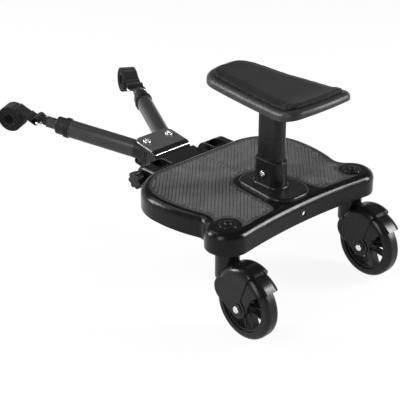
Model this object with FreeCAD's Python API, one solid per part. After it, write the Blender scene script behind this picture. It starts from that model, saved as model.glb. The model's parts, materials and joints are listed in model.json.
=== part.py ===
"""Ride-on board with a saddle seat, hitched behind a pushchair by two telescopic arms.

Sizes in millimetres, X right, Y forward to the pushchair, Z up from the floor. The shapes are drawn with
the castor swivels on Y = 0 and are moved at the end, so that the origin is under the middle of the board.
"""
import FreeCAD, Part
import math
import os

Vector = FreeCAD.Vector
X_AXIS = Vector(1, 0, 0)
Y_AXIS = Vector(0, 1, 0)
Z_AXIS = Vector(0, 0, 1)
ORIGIN = Vector(0, 0, 0)

# Fits
RUNNING_CLEARANCE = 0.05
SIDE_CLEARANCE = 0.5
SLIDE_CLEARANCE = 0.3
INLAY_CLEARANCE = 0.3

# Screw heads, as shares of their height or radius
HEAD_DOME = 0.6
CROSS_REACH = 0.56
CROSS_DEPTH = 0.58

# Wheels and castors
WHEEL_RADIUS = 60.0
TYRE_WIDTH = 26.5
TYRE_DEPTH = 14.0
TYRE_SHOULDER = 7.5
RIM_DEPTH = 4.5
RIM_WIDTH = 21.0
HUB_RADIUS = 14.0
HUB_BORE_CLEARANCE = 2.0
SPOKE_PAIRS = 5
SPOKE_THICKNESS = 3.2
SPOKE_WIDTH = 15.0
SPOKE_SPREAD = 24.0
AXLE_RADIUS = 4.0
BEARING_RADIUS = 11.0
BEARING_WIDTH = 7.0
AXLE_HEAD_RADIUS = 6.0
AXLE_HEAD_HEIGHT = 3.0
TRACK = 306.0
TRAIL = 48.5
FORK_WIDTH = 50.0
FORK_LEG = 8.5
FORK_SHOULDER = 15.0
FORK_BOSS_RADIUS = 17.0
FORK_RING_RADIUS = 11.0
FORK_RING_RISE = 1.2
TOE_RADIUS = 24.0
TOE_EDGE_RADIUS = 3.0
TOE_REACH = 31.5
TOE_RISE = 23.5
CROWN_GAP = 3.0
CROWN_THICKNESS = 12.0
CROWN_RISE = 20.0
CROWN_END = 109.0
FENDER_THICKNESS = 5.0
FENDER_WIDTH = 47.0
FENDER_START = 100.0
FENDER_END = 144.0
CHEEK_RADIUS = 54.0
CHEEK_EDGE_RADIUS = 1.5
SCALLOP_RADIUS = 40.5
SCALLOP_REACH = 62.0
SCALLOP_RISE = 3.0
STEM_RADIUS = 20.8
STEM_FOOT = 30.0
STEM_FOOT_RADIUS = 6.0
STEM_RISE = 13.2
SWIVEL_WASHER_RADIUS = 17.0
SWIVEL_WASHER_THICKNESS = 1.8
SWIVEL_BOLT_RADIUS = 4.0
SWIVEL_BOLT_HEAD_RADIUS = 6.5
SWIVEL_BOLT_HEAD_HEIGHT = 3.0
SWIVEL_BUSH_RADIUS = 7.0
SWIVEL_NUT_WIDTH = 13.0
SWIVEL_NUT_HEIGHT = 6.5
SWIVEL_NUT_DEPTH = 34.5
SWIVEL_NUT_ROOM = 3.0

# Deck
DECK_DEPTH = 38.0
DECK_WALL = 3.5
DECK_PLATE = 5.0
DECK_EDGE_RADIUS = 13.5
LOBE_RADIUS = 39.0
WAIST_RADIUS = 20.0
DECK_REAR = 28.0
DECK_FRONT = 240.0
DECK_HALF_WIDTH = 184.5
DECK_WIDEST_Y = 140.0
DECK_SIDE_RADIUS = 260.0
DECK_CORNER_RADIUS = 93.0
CASTOR_BOSS_RADIUS = 27.0
RIB_THICKNESS = 2.5
RIB_SPACING = 58.0
RIB_RISE = 4.0
LIFT_HOLE_RADIUS = 4.5
LIFT_HOLE_DROP = 23.0
CUP_WASHER_RADIUS = 16.0
CUP_WASHER_THICKNESS = 3.0
CUP_WASHER_SINK = 1.2
MAT_INSET = 16.0
MAT_THICKNESS = 2.0
MAT_CORNER_RADIUS = 13.0

# Seat
POST_Y = 52.0
POST_LENGTH = 52.0
POST_WIDTH = 26.0
POST_EDGE_RADIUS = 11.0
POST_WALL = 2.5
POST_FLOOR = 3.0
COLLAR_WALL = 4.0
COLLAR_TOP = 54.0
COLLAR_EDGE_RADIUS = 1.5
COLLAR_SKIRT = 4.0
COLLAR_SKIRT_ROUND = 0.97
FLANGE_HEIGHT = 8.0
FLANGE_SINK = 1.5
FLANGE_EDGE_RADIUS = 4.5
FLANGE_REAR_HALF_WIDTH = 46.0
FLANGE_FRONT_HALF_WIDTH = 32.0
FLANGE_REAR = 17.0
FLANGE_FRONT = 110.0
FLANGE_REAR_RADIUS = 33.0
FLANGE_FRONT_RADIUS = 25.0
FLANGE_BORDER = 9.5
FOOT_SCREW_RADIUS = 2.5
FOOT_SCREW_HEAD_HEIGHT = 2.6
FOOT_SCREW_ROOM = 0.5
FOOT_SCREW_GRIP = 5.0
SEAT_SCREW_GRIP = 8.0
SCREW_SETBACK_X = 9.0
SCREW_SETBACK_Y = 14.0
SCREW_BORDER = 8.0
COLLAR_SCREW_RADIUS = 3.0
COLLAR_SCREW_HEAD_RADIUS = 5.6
COLLAR_SCREW_HEAD_HEIGHT = 2.8
COLLAR_SCREW_OFFSET = 3.0
COLLAR_SCREW_HEIGHT = 28.0
COLLAR_NUT_WIDTH = 10.0
COLLAR_NUT_HEIGHT = 5.0
SEAT_HEIGHT = 183.5
SEAT_RIM = 15.0
SEAT_SHELL_WALL = 5.0
SEAT_FRONT = 180.0
SEAT_REAR = 69.0
SEAT_FRONT_HALF_WIDTH = 54.0
SEAT_REAR_HALF_WIDTH = 79.0
SEAT_FRONT_RADIUS = 47.0
SEAT_REAR_RADIUS = 26.0
SEAT_REAR_BOW = 8.0
SEAT_REAR_BOW_RADIUS = 300.0
SEAT_EDGE_RADIUS = 9.5
SEAT_OVERRUN = 10.0
SEAT_DISH_FRONT_RADIUS = 2200.0
SEAT_DISH_REAR_RADIUS = 170.0
SEAT_DISH_FRONT = 30.0
SEAT_DISH_REAR = 8.0
SEAT_PLATE_THICKNESS = 3.0
SEAT_PLATE_RISE = 2.0
SEAT_BLOCK_BORDER = 3.0
PAD_INSET = 11.0
PAD_THICKNESS = 7.0
PAD_EDGE_RADIUS = 2.5

# Hinge between deck and arm head
HINGE_REACH = 31.0
HINGE_DROP = 27.0
KNUCKLE_RADIUS = 20.0
KNUCKLE_INNER = 50.0
KNUCKLE_OUTER = 103.0
KNUCKLE_END = 22.0
KNUCKLE_END_RADIUS = 8.0
KNUCKLE_WALL = 4.0
KNUCKLE_RING_RADIUS = 13.0
KNUCKLE_RING_LENGTH = 3.0
BARREL_RADIUS = 17.0
ROD_RADIUS = 4.0
ROD_COVER = 3.0
ROD_HEAD_RADIUS = 7.0
ROD_HEAD_HEIGHT = 4.5
ROD_HEAD_STAND = 1.5
ROD_HEAD_CLEARANCE = 0.4
KNOB_RADIUS = 16.5
KNOB_THICKNESS = 13.0
KNOB_EDGE_RADIUS = 2.0
KNOB_CAP = 5.0
KNOB_NECK_RADIUS = 9.0
KNOB_NECK = 8.0
KNOB_INSERT_WALL = 2.5
KNOB_LOBES = 7
KNOB_LOBE_SHARE = 0.28
HEAD_PITCH = 8.5

# Arm head, measured from the hinge axis
HEAD_HALF_WIDTH = 43.5
HEAD_REAR = 34.7
HEAD_BEND = 46.0
HEAD_FRONT = 98.5
HEAD_REAR_RADIUS = 3.0
HEAD_FRONT_RADIUS = 15.0
HEAD_WALL = 4.0
HEAD_WALL_STOP = 10.0
HEAD_FLOOR = 3.5
HEAD_GROOVE = 9.0
HEAD_GROOVE_DROP = 5.0
HEAD_SLOT_WIDTH = 2.5
HEAD_SLOT_DEPTH = 1.5
HEAD_SLOT_MARGIN = 6.0
COVER_THICKNESS = 3.0
COVER_LIP_DROP = 4.0
COVER_BEVEL = 0.9
PIVOT_X = 27.0
PIVOT_Y = 78.0
PIVOT_RADIUS = 5.0
PIVOT_HEAD_RADIUS = 7.5
PIVOT_HEAD_HEIGHT = 3.4
PIVOT_NUT_WIDTH = 16.0
PIVOT_NUT_HEIGHT = 7.0
ARM_DROP = 11.5

# Arms, measured along each arm from its pivot
ARM_YAW = 24.5
ARM_WIDTH = 29.0
ARM_HEIGHT = 35.5
ARM_WALL = 2.0
SOCKET_RADIUS = 15.0
SOCKET_HEIGHT = 38.0
ARM_START = 22.0
ARM_END = 160.0
RING_LENGTH = 9.0
RING_RISE = 1.5
FERRULE_END = 186.5
FERRULE_SLEEVE = 15.0
FERRULE_INSET = 0.25
FERRULE_EDGE_RADIUS = 1.5
INNER_WIDTH = 19.0
INNER_HEIGHT = 22.0
INNER_WALL = 1.6
INNER_START = 41.0
INNER_END = 206.0
INNER_HOLE_RADIUS = 3.0
INNER_HOLE_REACH = 8.0
SHOE_LENGTH = 12.0
PLUG_STUB = 14.0
PLUG_CAP = 3.0
PLUG_LUG_RADIUS = 5.0
PLUG_LUG_WIDTH = 15.0
RING_WIRE_RADIUS = 2.0
RING_LENGTH_INSIDE = 11.5

# Straps
STRAP_WIDTH = 30.0
STRAP_THICKNESS = 2.2
STRAP_PITCH = 3.0
STRAP_TURNS = 5
STRAP_EDGE_CLEARANCE = 0.8
STRAP_CORE_RADIUS = 10.0
STRAP_EYE_RADIUS = 7.0
STRAP_ROLL_REACH = 56.5
STRAP_ROLL_DROP = 11.5

# Worked out from the sizes above
CAVITY_RADIUS = WHEEL_RADIUS + CROWN_GAP
CROWN_TOP = CAVITY_RADIUS + CROWN_THICKNESS
CROWN_RADIUS = CROWN_TOP - CROWN_RISE
FENDER_RADIUS = CAVITY_RADIUS + FENDER_THICKNESS
WHEEL_SPACE = FORK_WIDTH - 2 * FORK_LEG
HUB_WIDTH = WHEEL_SPACE - 4 * SIDE_CLEARANCE
STEM_TOP = WHEEL_RADIUS + CROWN_TOP + STEM_RISE
SWIVEL_NUT_BOTTOM = STEM_TOP - SWIVEL_NUT_DEPTH
SWIVEL_NUT_TOP = SWIVEL_NUT_BOTTOM + SWIVEL_NUT_HEIGHT
DECK_BOTTOM = STEM_TOP + SWIVEL_WASHER_THICKNESS
DECK_TOP = DECK_BOTTOM + DECK_DEPTH
HINGE_Y = DECK_FRONT + HINGE_REACH
HINGE_Z = DECK_TOP - HINGE_DROP
ROD_SHOULDER = KNUCKLE_OUTER - ROD_HEAD_HEIGHT + ROD_HEAD_STAND
SEAT_Z = DECK_TOP + SEAT_HEIGHT
SEAT_PLATE_Z = SEAT_Z - SEAT_RIM + SEAT_PLATE_RISE
SEAT_PLATE_TOP = SEAT_PLATE_Z + SEAT_PLATE_THICKNESS
COLLAR_Z = DECK_TOP + COLLAR_TOP
COLLAR_SCREW_Y = POST_Y + COLLAR_SCREW_OFFSET
COLLAR_SCREW_Z = DECK_TOP + COLLAR_SCREW_HEIGHT
FLANGE_BOTTOM = DECK_TOP - FLANGE_SINK
FLANGE_TOP = FLANGE_BOTTOM + FLANGE_HEIGHT
SOCKET_SPACE = SOCKET_HEIGHT + 2 * SIDE_CLEARANCE
FLOOR_TOP = -ARM_DROP - SOCKET_SPACE / 2
FLOOR_BOTTOM = FLOOR_TOP - HEAD_FLOOR
COVER_BOTTOM = -ARM_DROP + SOCKET_SPACE / 2
COVER_TOP = COVER_BOTTOM + COVER_THICKNESS
RING_BAR = INNER_END + PLUG_CAP + PLUG_LUG_RADIUS
RING_FRONT = RING_BAR + RING_LENGTH_INSIDE
RING_WIDTH = STRAP_WIDTH + 4 * RING_WIRE_RADIUS + 2 * STRAP_EDGE_CLEARANCE
STRAP_EYE = RING_FRONT - RING_WIRE_RADIUS - SLIDE_CLEARANCE - STRAP_THICKNESS / 2 + STRAP_EYE_RADIUS


def line(start, end):
    """Straight edge."""
    return Part.LineSegment(start, end).toShape()


def arc(start, middle, end):
    """Round edge through three points."""
    return Part.Arc(start, middle, end).toShape()


def polar(centre, radius, degrees):
    """Point at a distance and bearing from a centre."""
    angle = math.radians(degrees)
    return centre + Vector(radius * math.cos(angle), radius * math.sin(angle), 0)


def bearing(centre, point):
    """Bearing of a point from a centre, in degrees."""
    return math.degrees(math.atan2(point.y - centre.y, point.x - centre.x))


def turn_about(centre, start, end, clockwise):
    """Round edge about a centre between two points, one way or the other."""
    first = bearing(centre, start)
    turn = (bearing(centre, end) - first) % 360
    if clockwise:
        turn -= 360
    return arc(start, polar(centre, (start - centre).Length, first + turn / 2), end)


def closed_wire(corners):
    """Outline of straight edges through corners."""
    return Part.Wire([line(corners[index - 1], corners[index]) for index in range(len(corners))])


def rounded_wire(corners):
    """Closed outline through corners (x, y, radius), each rounded by a tangent arc."""
    rounds = []
    for index, (x, y, radius) in enumerate(corners):
        corner = Vector(x, y, 0)
        before = corners[index - 1]
        after = corners[(index + 1) % len(corners)]
        to_before = Vector(before[0], before[1], 0) - corner
        to_after = Vector(after[0], after[1], 0) - corner
        to_before.normalize()
        to_after.normalize()
        inward = to_before + to_after
        inward.normalize()
        half_angle = to_before.getAngle(to_after) / 2
        reach = radius / math.tan(half_angle)
        middle = corner + inward * (radius / math.sin(half_angle) - radius)
        rounds.append((corner + to_before * reach, middle, corner + to_after * reach))
    edges = []
    for index, (start, middle, end) in enumerate(rounds):
        edges.append(arc(start, middle, end))
        following = rounds[(index + 1) % len(rounds)][0]
        if (following - end).Length > 0.001:
            edges.append(line(end, following))
    return Part.Wire(edges)


def plate(wire, bottom, top):
    """Upright block on an outline."""
    face = Part.Face(wire)
    face.translate(Vector(0, 0, bottom))
    return face.extrude(Vector(0, 0, top - bottom))


def rounded_block(width, length, radius, bottom, top):
    """Upright block with rounded corners about the Z axis."""
    x = width / 2
    y = length / 2
    wire = rounded_wire([(x, y, radius), (-x, y, radius), (-x, -y, radius), (x, -y, radius)])
    return plate(wire, bottom, top)


def to_side(solid):
    """Turn a solid drawn in X, Y and Z so that they become Y, Z and X."""
    return solid.rotated(ORIGIN, Vector(1, 1, 1), 120)


def along_y(solid):
    """Turn a solid drawn along Z so that it runs along Y."""
    return solid.rotated(ORIGIN, X_AXIS, -90)


def rod_x(radius, start, end, y, z):
    """Round bar along X."""
    return Part.makeCylinder(radius, end - start, Vector(start, y, z), X_AXIS)


def rod_z(radius, bottom, top, x, y):
    """Round bar along Z."""
    return Part.makeCylinder(radius, top - bottom, Vector(x, y, bottom), Z_AXIS)


def box(x0, x1, y0, y1, z0, z1):
    """Block between limits."""
    return Part.makeBox(x1 - x0, y1 - y0, z1 - z0, Vector(x0, y0, z0))


def both_sides(solid):
    """Solid and its mirror image across the middle of the board."""
    return [solid, solid.mirror(ORIGIN, X_AXIS)]


def hexagon(width, bottom, top, x, y):
    """Upright hexagon bar, width across flats."""
    centre = Vector(x, y, 0)
    corners = [polar(centre, width / math.sqrt(3), 60 * turn) for turn in range(6)]
    return plate(closed_wire(corners), bottom, top)


def dome_head(radius, height, bottom, x, y):
    """Screw head with a rounded top edge, on the Z axis."""
    head = rod_z(radius, bottom, bottom + height, x, y)
    top_edge = [edge for edge in head.Edges if edge.BoundBox.ZMin > bottom + height - 0.01]
    return head.makeFillet(height * HEAD_DOME, top_edge)


def cross_head(radius, height, bottom, x, y):
    """Domed screw head with a cross recess."""
    arm = CROSS_REACH * radius
    top = bottom + height
    slot = box(-arm, arm, -arm / 4, arm / 4, top - CROSS_DEPTH * height, top + 1)
    cross = slot.fuse(slot.rotated(ORIGIN, Z_AXIS, 90))
    return dome_head(radius, height, bottom, x, y).cut(cross.translated(Vector(x, y, 0)))


def edges_at_height(solid, z):
    """Edges that lie level at a height."""
    found = []
    for edge in solid.Edges:
        bounds = edge.BoundBox
        if abs(bounds.ZMin - z) < 0.01 and abs(bounds.ZMax - z) < 0.01:
            found.append(edge)
    return found


def upper_crossing(first, first_radius, second, second_radius):
    """Crossing of two circles that lies further along Y."""
    apart = second - first
    distance = apart.Length
    along = (first_radius ** 2 - second_radius ** 2 + distance ** 2) / (2 * distance)
    across = math.sqrt(first_radius ** 2 - along ** 2)
    unit = apart / distance
    normal = Vector(-unit.y, unit.x, 0)
    points = [first + unit * along + normal * across, first + unit * along - normal * across]
    return max(points, key=lambda point: point.y)


def mirrored(point):
    """Point across the middle of the board."""
    return Vector(-point.x, point.y, point.z)


def deck_outline(inset):
    """Outline of the deck drawn in by an inset: lobes, waists, sides, front corners and straight front."""
    lobe = Vector(TRACK / 2, 0, 0)
    rear_radius = (lobe.x ** 2 + DECK_REAR ** 2 - LOBE_RADIUS ** 2) / (2 * (LOBE_RADIUS - DECK_REAR))
    rear = Vector(0, -DECK_REAR - rear_radius, 0)
    side = Vector(DECK_HALF_WIDTH - DECK_SIDE_RADIUS, DECK_WIDEST_Y, 0)
    corner_y = DECK_FRONT - DECK_CORNER_RADIUS
    corner_reach = DECK_SIDE_RADIUS - DECK_CORNER_RADIUS
    corner_x = side.x + math.sqrt(corner_reach ** 2 - (corner_y - side.y) ** 2)
    corner = Vector(corner_x, corner_y, 0)
    waist = upper_crossing(lobe, LOBE_RADIUS + WAIST_RADIUS, side, DECK_SIDE_RADIUS + WAIST_RADIUS)
    lobe_radius = LOBE_RADIUS - inset
    side_radius = DECK_SIDE_RADIUS - inset
    rear_point = lobe + (rear - lobe).normalize() * lobe_radius
    waist_point = lobe + (waist - lobe).normalize() * lobe_radius
    side_point = side + (waist - side).normalize() * side_radius
    corner_point = side + (corner - side).normalize() * side_radius
    front_point = Vector(corner.x, DECK_FRONT - inset, 0)
    rear_middle = Vector(0, inset - DECK_REAR, 0)
    turns = [
        (lobe, rear_point, waist_point, False),
        (waist, waist_point, side_point, True),
        (side, side_point, corner_point, False),
        (corner, corner_point, front_point, False),
    ]
    edges = [arc(mirrored(rear_point), rear_middle, rear_point)]
    for centre, start, end, clockwise in turns:
        edges.append(turn_about(centre, start, end, clockwise))
    edges.append(line(front_point, mirrored(front_point)))
    for centre, start, end, clockwise in reversed(turns):
        edges.append(turn_about(mirrored(centre), mirrored(end), mirrored(start), clockwise))
    return Part.Wire(edges)


def flange_outline(border):
    """Outline of the seat foot, grown by a border."""
    rear_x = FLANGE_REAR_HALF_WIDTH + border
    front_x = FLANGE_FRONT_HALF_WIDTH + border
    rear_y = -FLANGE_REAR - border
    front_y = FLANGE_FRONT + border
    rear_radius = FLANGE_REAR_RADIUS + border
    front_radius = FLANGE_FRONT_RADIUS + border
    return rounded_wire([
        (rear_x, rear_y, rear_radius), (front_x, front_y, front_radius),
        (-front_x, front_y, front_radius), (-rear_x, rear_y, rear_radius),
    ])


def mat_bay(growth):
    """Outline of the bay that the mat leaves out for the seat foot, open past the rear of the deck."""
    slope = (FLANGE_REAR_HALF_WIDTH - FLANGE_FRONT_HALF_WIDTH) / (FLANGE_FRONT + FLANGE_REAR)
    rear_y = -DECK_REAR - LOBE_RADIUS
    rear_x = FLANGE_REAR_HALF_WIDTH + FLANGE_BORDER + slope * (-FLANGE_REAR - rear_y) - growth
    front_x = FLANGE_FRONT_HALF_WIDTH + FLANGE_BORDER - growth
    front_y = FLANGE_FRONT + FLANGE_BORDER - growth
    radius = FLANGE_FRONT_RADIUS + FLANGE_BORDER
    return rounded_wire([(rear_x, rear_y, 1), (front_x, front_y, radius), (-front_x, front_y, radius),
                         (-rear_x, rear_y, 1)])


def mat_body(inset, bottom, top):
    """Horseshoe of the grip mat, which leaves out the seat foot and the castor bolts."""
    mat = plate(deck_outline(inset), bottom, top)
    growth = MAT_INSET - inset
    bay = plate(mat_bay(growth), bottom - 1, top + 1)
    mat = mat.cut(bay)
    for lobe in both_sides(rod_z(LOBE_RADIUS - MAT_INSET + 1 - growth, bottom - 1, top + 1, TRACK / 2, 0)):
        mat = mat.cut(lobe)
    corners = []
    for edge in mat.Edges:
        bounds = edge.BoundBox
        upright = bounds.ZLength > top - bottom - 0.01 and bounds.XLength < 0.01 and bounds.YLength < 0.01
        if upright and abs(bounds.XMin) < bay.BoundBox.XMax + 2 and bounds.YMin < 0:
            corners.append(edge)
    return mat.makeFillet(MAT_CORNER_RADIUS, corners)


def deck_ribs(cavity):
    """Ribs under the deck plate, clear of the lift hole."""
    ribs = []
    half = RIB_THICKNESS / 2
    bottom = DECK_BOTTOM + RIB_RISE
    top = DECK_TOP - DECK_PLATE / 2
    reach = DECK_HALF_WIDTH + LOBE_RADIUS
    column = RIB_SPACING / 2
    while column < DECK_HALF_WIDTH:
        for x in (column, -column):
            ribs.append(box(x - half, x + half, -DECK_REAR - LOBE_RADIUS, DECK_FRONT, bottom, top))
        column += RIB_SPACING
    row = RIB_SPACING / 3
    while row < DECK_FRONT:
        ribs.append(box(-reach, reach, row - half, row + half, bottom, top))
        row += RIB_SPACING
    grid = ribs[0].fuse(ribs[1:])
    return grid.common(cavity)


def knuckle():
    """Right hinge knuckle of the deck, cored out from above, with a rounded end and a rod ring."""
    rear = DECK_FRONT - DECK_WALL
    axis = Vector(HINGE_Y, HINGE_Z, 0)
    top = polar(axis, KNUCKLE_RADIUS, 90)
    bottom = polar(axis, KNUCKLE_RADIUS, -90)
    rear_top = Vector(rear, top.y, 0)
    rear_bottom = Vector(rear, DECK_BOTTOM, 0)
    edges = [
        line(rear_top, top), turn_about(axis, top, bottom, True),
        line(bottom, rear_bottom), line(rear_bottom, rear_top),
    ]
    body = to_side(plate(Part.Wire(edges), KNUCKLE_INNER, KNUCKLE_OUTER))
    rims = []
    for edge in body.Edges:
        bounds = edge.BoundBox
        if bounds.XMin > KNUCKLE_OUTER - 0.01 and bounds.YMax > rear + 0.01:
            rims.append(edge)
    body = body.makeFillet(KNUCKLE_END_RADIUS, rims)
    ring_end = KNUCKLE_OUTER + KNUCKLE_RING_LENGTH
    ring = rod_x(KNUCKLE_RING_RADIUS, KNUCKLE_OUTER - KNUCKLE_END_RADIUS, ring_end, HINGE_Y, HINGE_Z)
    body = body.fuse(ring).removeSplitter()
    body = body.cut(rod_x(KNOB_NECK_RADIUS + 1, KNUCKLE_OUTER, ring_end + 1, HINGE_Y, HINGE_Z))
    left = KNUCKLE_INNER + KNUCKLE_WALL
    right = KNUCKLE_OUTER - KNUCKLE_END
    back = DECK_FRONT + DECK_WALL / 2
    cover = ROD_RADIUS + ROD_COVER
    front = HINGE_Y + KNUCKLE_RADIUS - 2 * KNUCKLE_WALL
    body = body.cut(box(left, right, back, front, HINGE_Z + cover, DECK_TOP))
    return body.cut(box(left, right, back, HINGE_Y - cover, DECK_BOTTOM + DECK_PLATE, DECK_TOP))


def deck_shell():
    """Moulded deck: rounded plate and skirt, ribs, castor bosses and hinge knuckles."""
    shell = plate(deck_outline(0), DECK_BOTTOM, DECK_TOP)
    shell = shell.makeFillet(DECK_EDGE_RADIUS, edges_at_height(shell, DECK_TOP))
    cavity_top = DECK_TOP - DECK_PLATE
    cavity = plate(deck_outline(DECK_WALL), DECK_BOTTOM - 1, cavity_top)
    cavity = cavity.makeFillet(DECK_EDGE_RADIUS - DECK_WALL, edges_at_height(cavity, cavity_top))
    full = shell
    shell = shell.cut(cavity)
    bosses = both_sides(rod_z(CASTOR_BOSS_RADIUS, DECK_BOTTOM, DECK_TOP - DECK_PLATE / 2, TRACK / 2, 0))
    bosses = [boss.common(full) for boss in bosses]
    shell = shell.fuse([deck_ribs(cavity)] + bosses + both_sides(knuckle())).removeSplitter()
    shell = shell.cut(mat_body(MAT_INSET - INLAY_CLEARANCE, DECK_TOP - MAT_THICKNESS, DECK_TOP + 1))
    shell = shell.cut(plate(flange_outline(INLAY_CLEARANCE), FLANGE_BOTTOM, DECK_TOP + 1))
    washer_radius = CUP_WASHER_RADIUS + INLAY_CLEARANCE
    for x in (-TRACK / 2, TRACK / 2):
        shell = shell.cut(rod_z(SWIVEL_BOLT_RADIUS, DECK_BOTTOM - 1, DECK_TOP + 1, x, 0))
        shell = shell.cut(rod_z(washer_radius, DECK_TOP - CUP_WASHER_SINK, DECK_TOP + 1, x, 0))
    outer = KNUCKLE_OUTER + KNUCKLE_RING_LENGTH + 1
    shell = shell.cut(rod_x(ROD_RADIUS, -outer, outer, HINGE_Y, HINGE_Z))
    shell = shell.cut(rod_x(ROD_HEAD_RADIUS, ROD_SHOULDER, outer, HINGE_Y, HINGE_Z))
    hole_start = Vector(0, -DECK_REAR - DECK_WALL, DECK_TOP - LIFT_HOLE_DROP)
    shell = shell.cut(Part.makeCylinder(LIFT_HOLE_RADIUS, 3 * DECK_WALL, hole_start, Y_AXIS))
    head_room = 2 * FOOT_SCREW_RADIUS + FOOT_SCREW_ROOM
    for x, y in screw_places():
        shell = shell.cut(rod_z(FOOT_SCREW_RADIUS, DECK_BOTTOM, DECK_TOP + 1, x, y))
        shell = shell.cut(rod_z(head_room, DECK_BOTTOM, DECK_TOP - DECK_PLATE, x, y))
    return shell


def screw_places():
    """Places of the four screws round the seat post, under its foot and over its top."""
    half_length = POST_LENGTH / 2 + SCREW_SETBACK_Y
    half_width = POST_WIDTH / 2 + SCREW_SETBACK_X
    places = []
    for x in (-half_width, half_width):
        places.append((x, POST_Y - half_length))
        places.append((x, POST_Y + half_length))
    return places


def screw_pad(border, bottom, top):
    """Rounded block that reaches past the four screws by a border."""
    width = POST_WIDTH + 2 * (SCREW_SETBACK_X + border)
    length = POST_LENGTH + 2 * (SCREW_SETBACK_Y + border)
    return rounded_block(width, length, border, bottom, top).translated(Vector(0, POST_Y, 0))


def post_section(growth, bottom, top):
    """Upright block on the outline of the seat post, grown on every side."""
    width = POST_WIDTH + 2 * growth
    length = POST_LENGTH + 2 * growth
    block = rounded_block(width, length, POST_EDGE_RADIUS + growth, bottom, top)
    return block.translated(Vector(0, POST_Y, 0))


def seat_foot():
    """Flange and collar that hold the seat post."""
    flange = plate(flange_outline(0), FLANGE_BOTTOM, FLANGE_TOP)
    flange = flange.makeFillet(FLANGE_EDGE_RADIUS, edges_at_height(flange, FLANGE_TOP))
    collar = post_section(COLLAR_WALL, FLANGE_TOP - 1, COLLAR_Z)
    collar = collar.makeFillet(COLLAR_EDGE_RADIUS, edges_at_height(collar, COLLAR_Z))
    skirt_top = FLANGE_TOP + COLLAR_SKIRT
    skirt = post_section(COLLAR_WALL + COLLAR_SKIRT, FLANGE_TOP - 1, skirt_top)
    skirt = skirt.makeFillet(COLLAR_SKIRT_ROUND * COLLAR_SKIRT, edges_at_height(skirt, skirt_top))
    foot = flange.fuse([collar, skirt]).removeSplitter()
    foot = foot.cut(post_section(0, FLANGE_BOTTOM + POST_FLOOR, COLLAR_Z + 1))
    hole_top = FLANGE_BOTTOM + FOOT_SCREW_GRIP + 1
    for x, y in screw_places():
        foot = foot.cut(rod_z(FOOT_SCREW_RADIUS, FLANGE_BOTTOM - 1, hole_top, x, y))
    return foot.cut(collar_screw_bar())


def collar_screw_bar():
    """Shank of the cross screw, from side to side of the collar."""
    half = POST_WIDTH / 2 + COLLAR_WALL
    return rod_x(COLLAR_SCREW_RADIUS, -half, half, COLLAR_SCREW_Y, COLLAR_SCREW_Z)


def collar_screw():
    """Pan head screw through collar and post, with its nut."""
    half = POST_WIDTH / 2 + COLLAR_WALL
    place = Vector(half, COLLAR_SCREW_Y, COLLAR_SCREW_Z)
    head = cross_head(COLLAR_SCREW_HEAD_RADIUS, COLLAR_SCREW_HEAD_HEIGHT, 0, 0, 0)
    head = head.rotated(ORIGIN, Y_AXIS, -90).translated(mirrored(place))
    nut = hexagon(COLLAR_NUT_WIDTH, 0, COLLAR_NUT_HEIGHT, 0, 0)
    nut = nut.cut(rod_z(COLLAR_SCREW_RADIUS, -1, COLLAR_NUT_HEIGHT + 1, 0, 0))
    return collar_screw_bar().fuse(head), nut.rotated(ORIGIN, Y_AXIS, 90).translated(place)


def seat_post():
    """Flat-sided tube that carries the saddle."""
    bottom = FLANGE_BOTTOM + POST_FLOOR
    tube = post_section(0, bottom, SEAT_PLATE_Z).cut(post_section(-POST_WALL, bottom - 1, SEAT_PLATE_Z + 1))
    return tube.cut(collar_screw_bar())


def seat_prism(inset):
    """Tall block on the plan of the saddle drawn in by an inset: round front, wider rear, bowed edge."""
    front_x = SEAT_FRONT_HALF_WIDTH - inset
    rear_x = SEAT_REAR_HALF_WIDTH - inset
    front_y = SEAT_FRONT - inset
    rear_y = inset - SEAT_REAR
    front_radius = SEAT_FRONT_RADIUS - inset
    rear_radius = SEAT_REAR_RADIUS - inset / 2
    wire = rounded_wire([
        (front_x, front_y, front_radius), (-front_x, front_y, front_radius),
        (-rear_x, rear_y + SEAT_REAR_BOW, rear_radius), (0, rear_y, SEAT_REAR_BOW_RADIUS),
        (rear_x, rear_y + SEAT_REAR_BOW, rear_radius),
    ])
    return plate(wire, DECK_TOP, SEAT_Z + SEAT_HEIGHT)


def dish_height(y, rise):
    """Height of the dished saddle line at a place along the seat, raised square to the line."""
    if y > SEAT_DISH_FRONT:
        radius = SEAT_DISH_FRONT_RADIUS
        offset = y - SEAT_DISH_FRONT
    else:
        radius = SEAT_DISH_REAR_RADIUS
        offset = min(y + SEAT_DISH_REAR, 0)
    return SEAT_Z + radius - math.sqrt((radius - rise) ** 2 - offset ** 2)


def dish_point(y, rise):
    """Point of the saddle line in the side view."""
    return Vector(y, dish_height(y, rise), 0)


def dish_line(rise):
    """Saddle line from front to rear in the side view: long front arc, level middle, rear curl."""
    front = SEAT_FRONT + SEAT_OVERRUN
    rear = -SEAT_REAR - SEAT_OVERRUN
    front_middle = (front + SEAT_DISH_FRONT) / 2
    rear_middle = (rear - SEAT_DISH_REAR) / 2
    return [
        arc(dish_point(front, rise), dish_point(front_middle, rise), dish_point(SEAT_DISH_FRONT, rise)),
        line(dish_point(SEAT_DISH_FRONT, rise), dish_point(-SEAT_DISH_REAR, rise)),
        arc(dish_point(-SEAT_DISH_REAR, rise), dish_point(rear_middle, rise), dish_point(rear, rise)),
    ]


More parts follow.
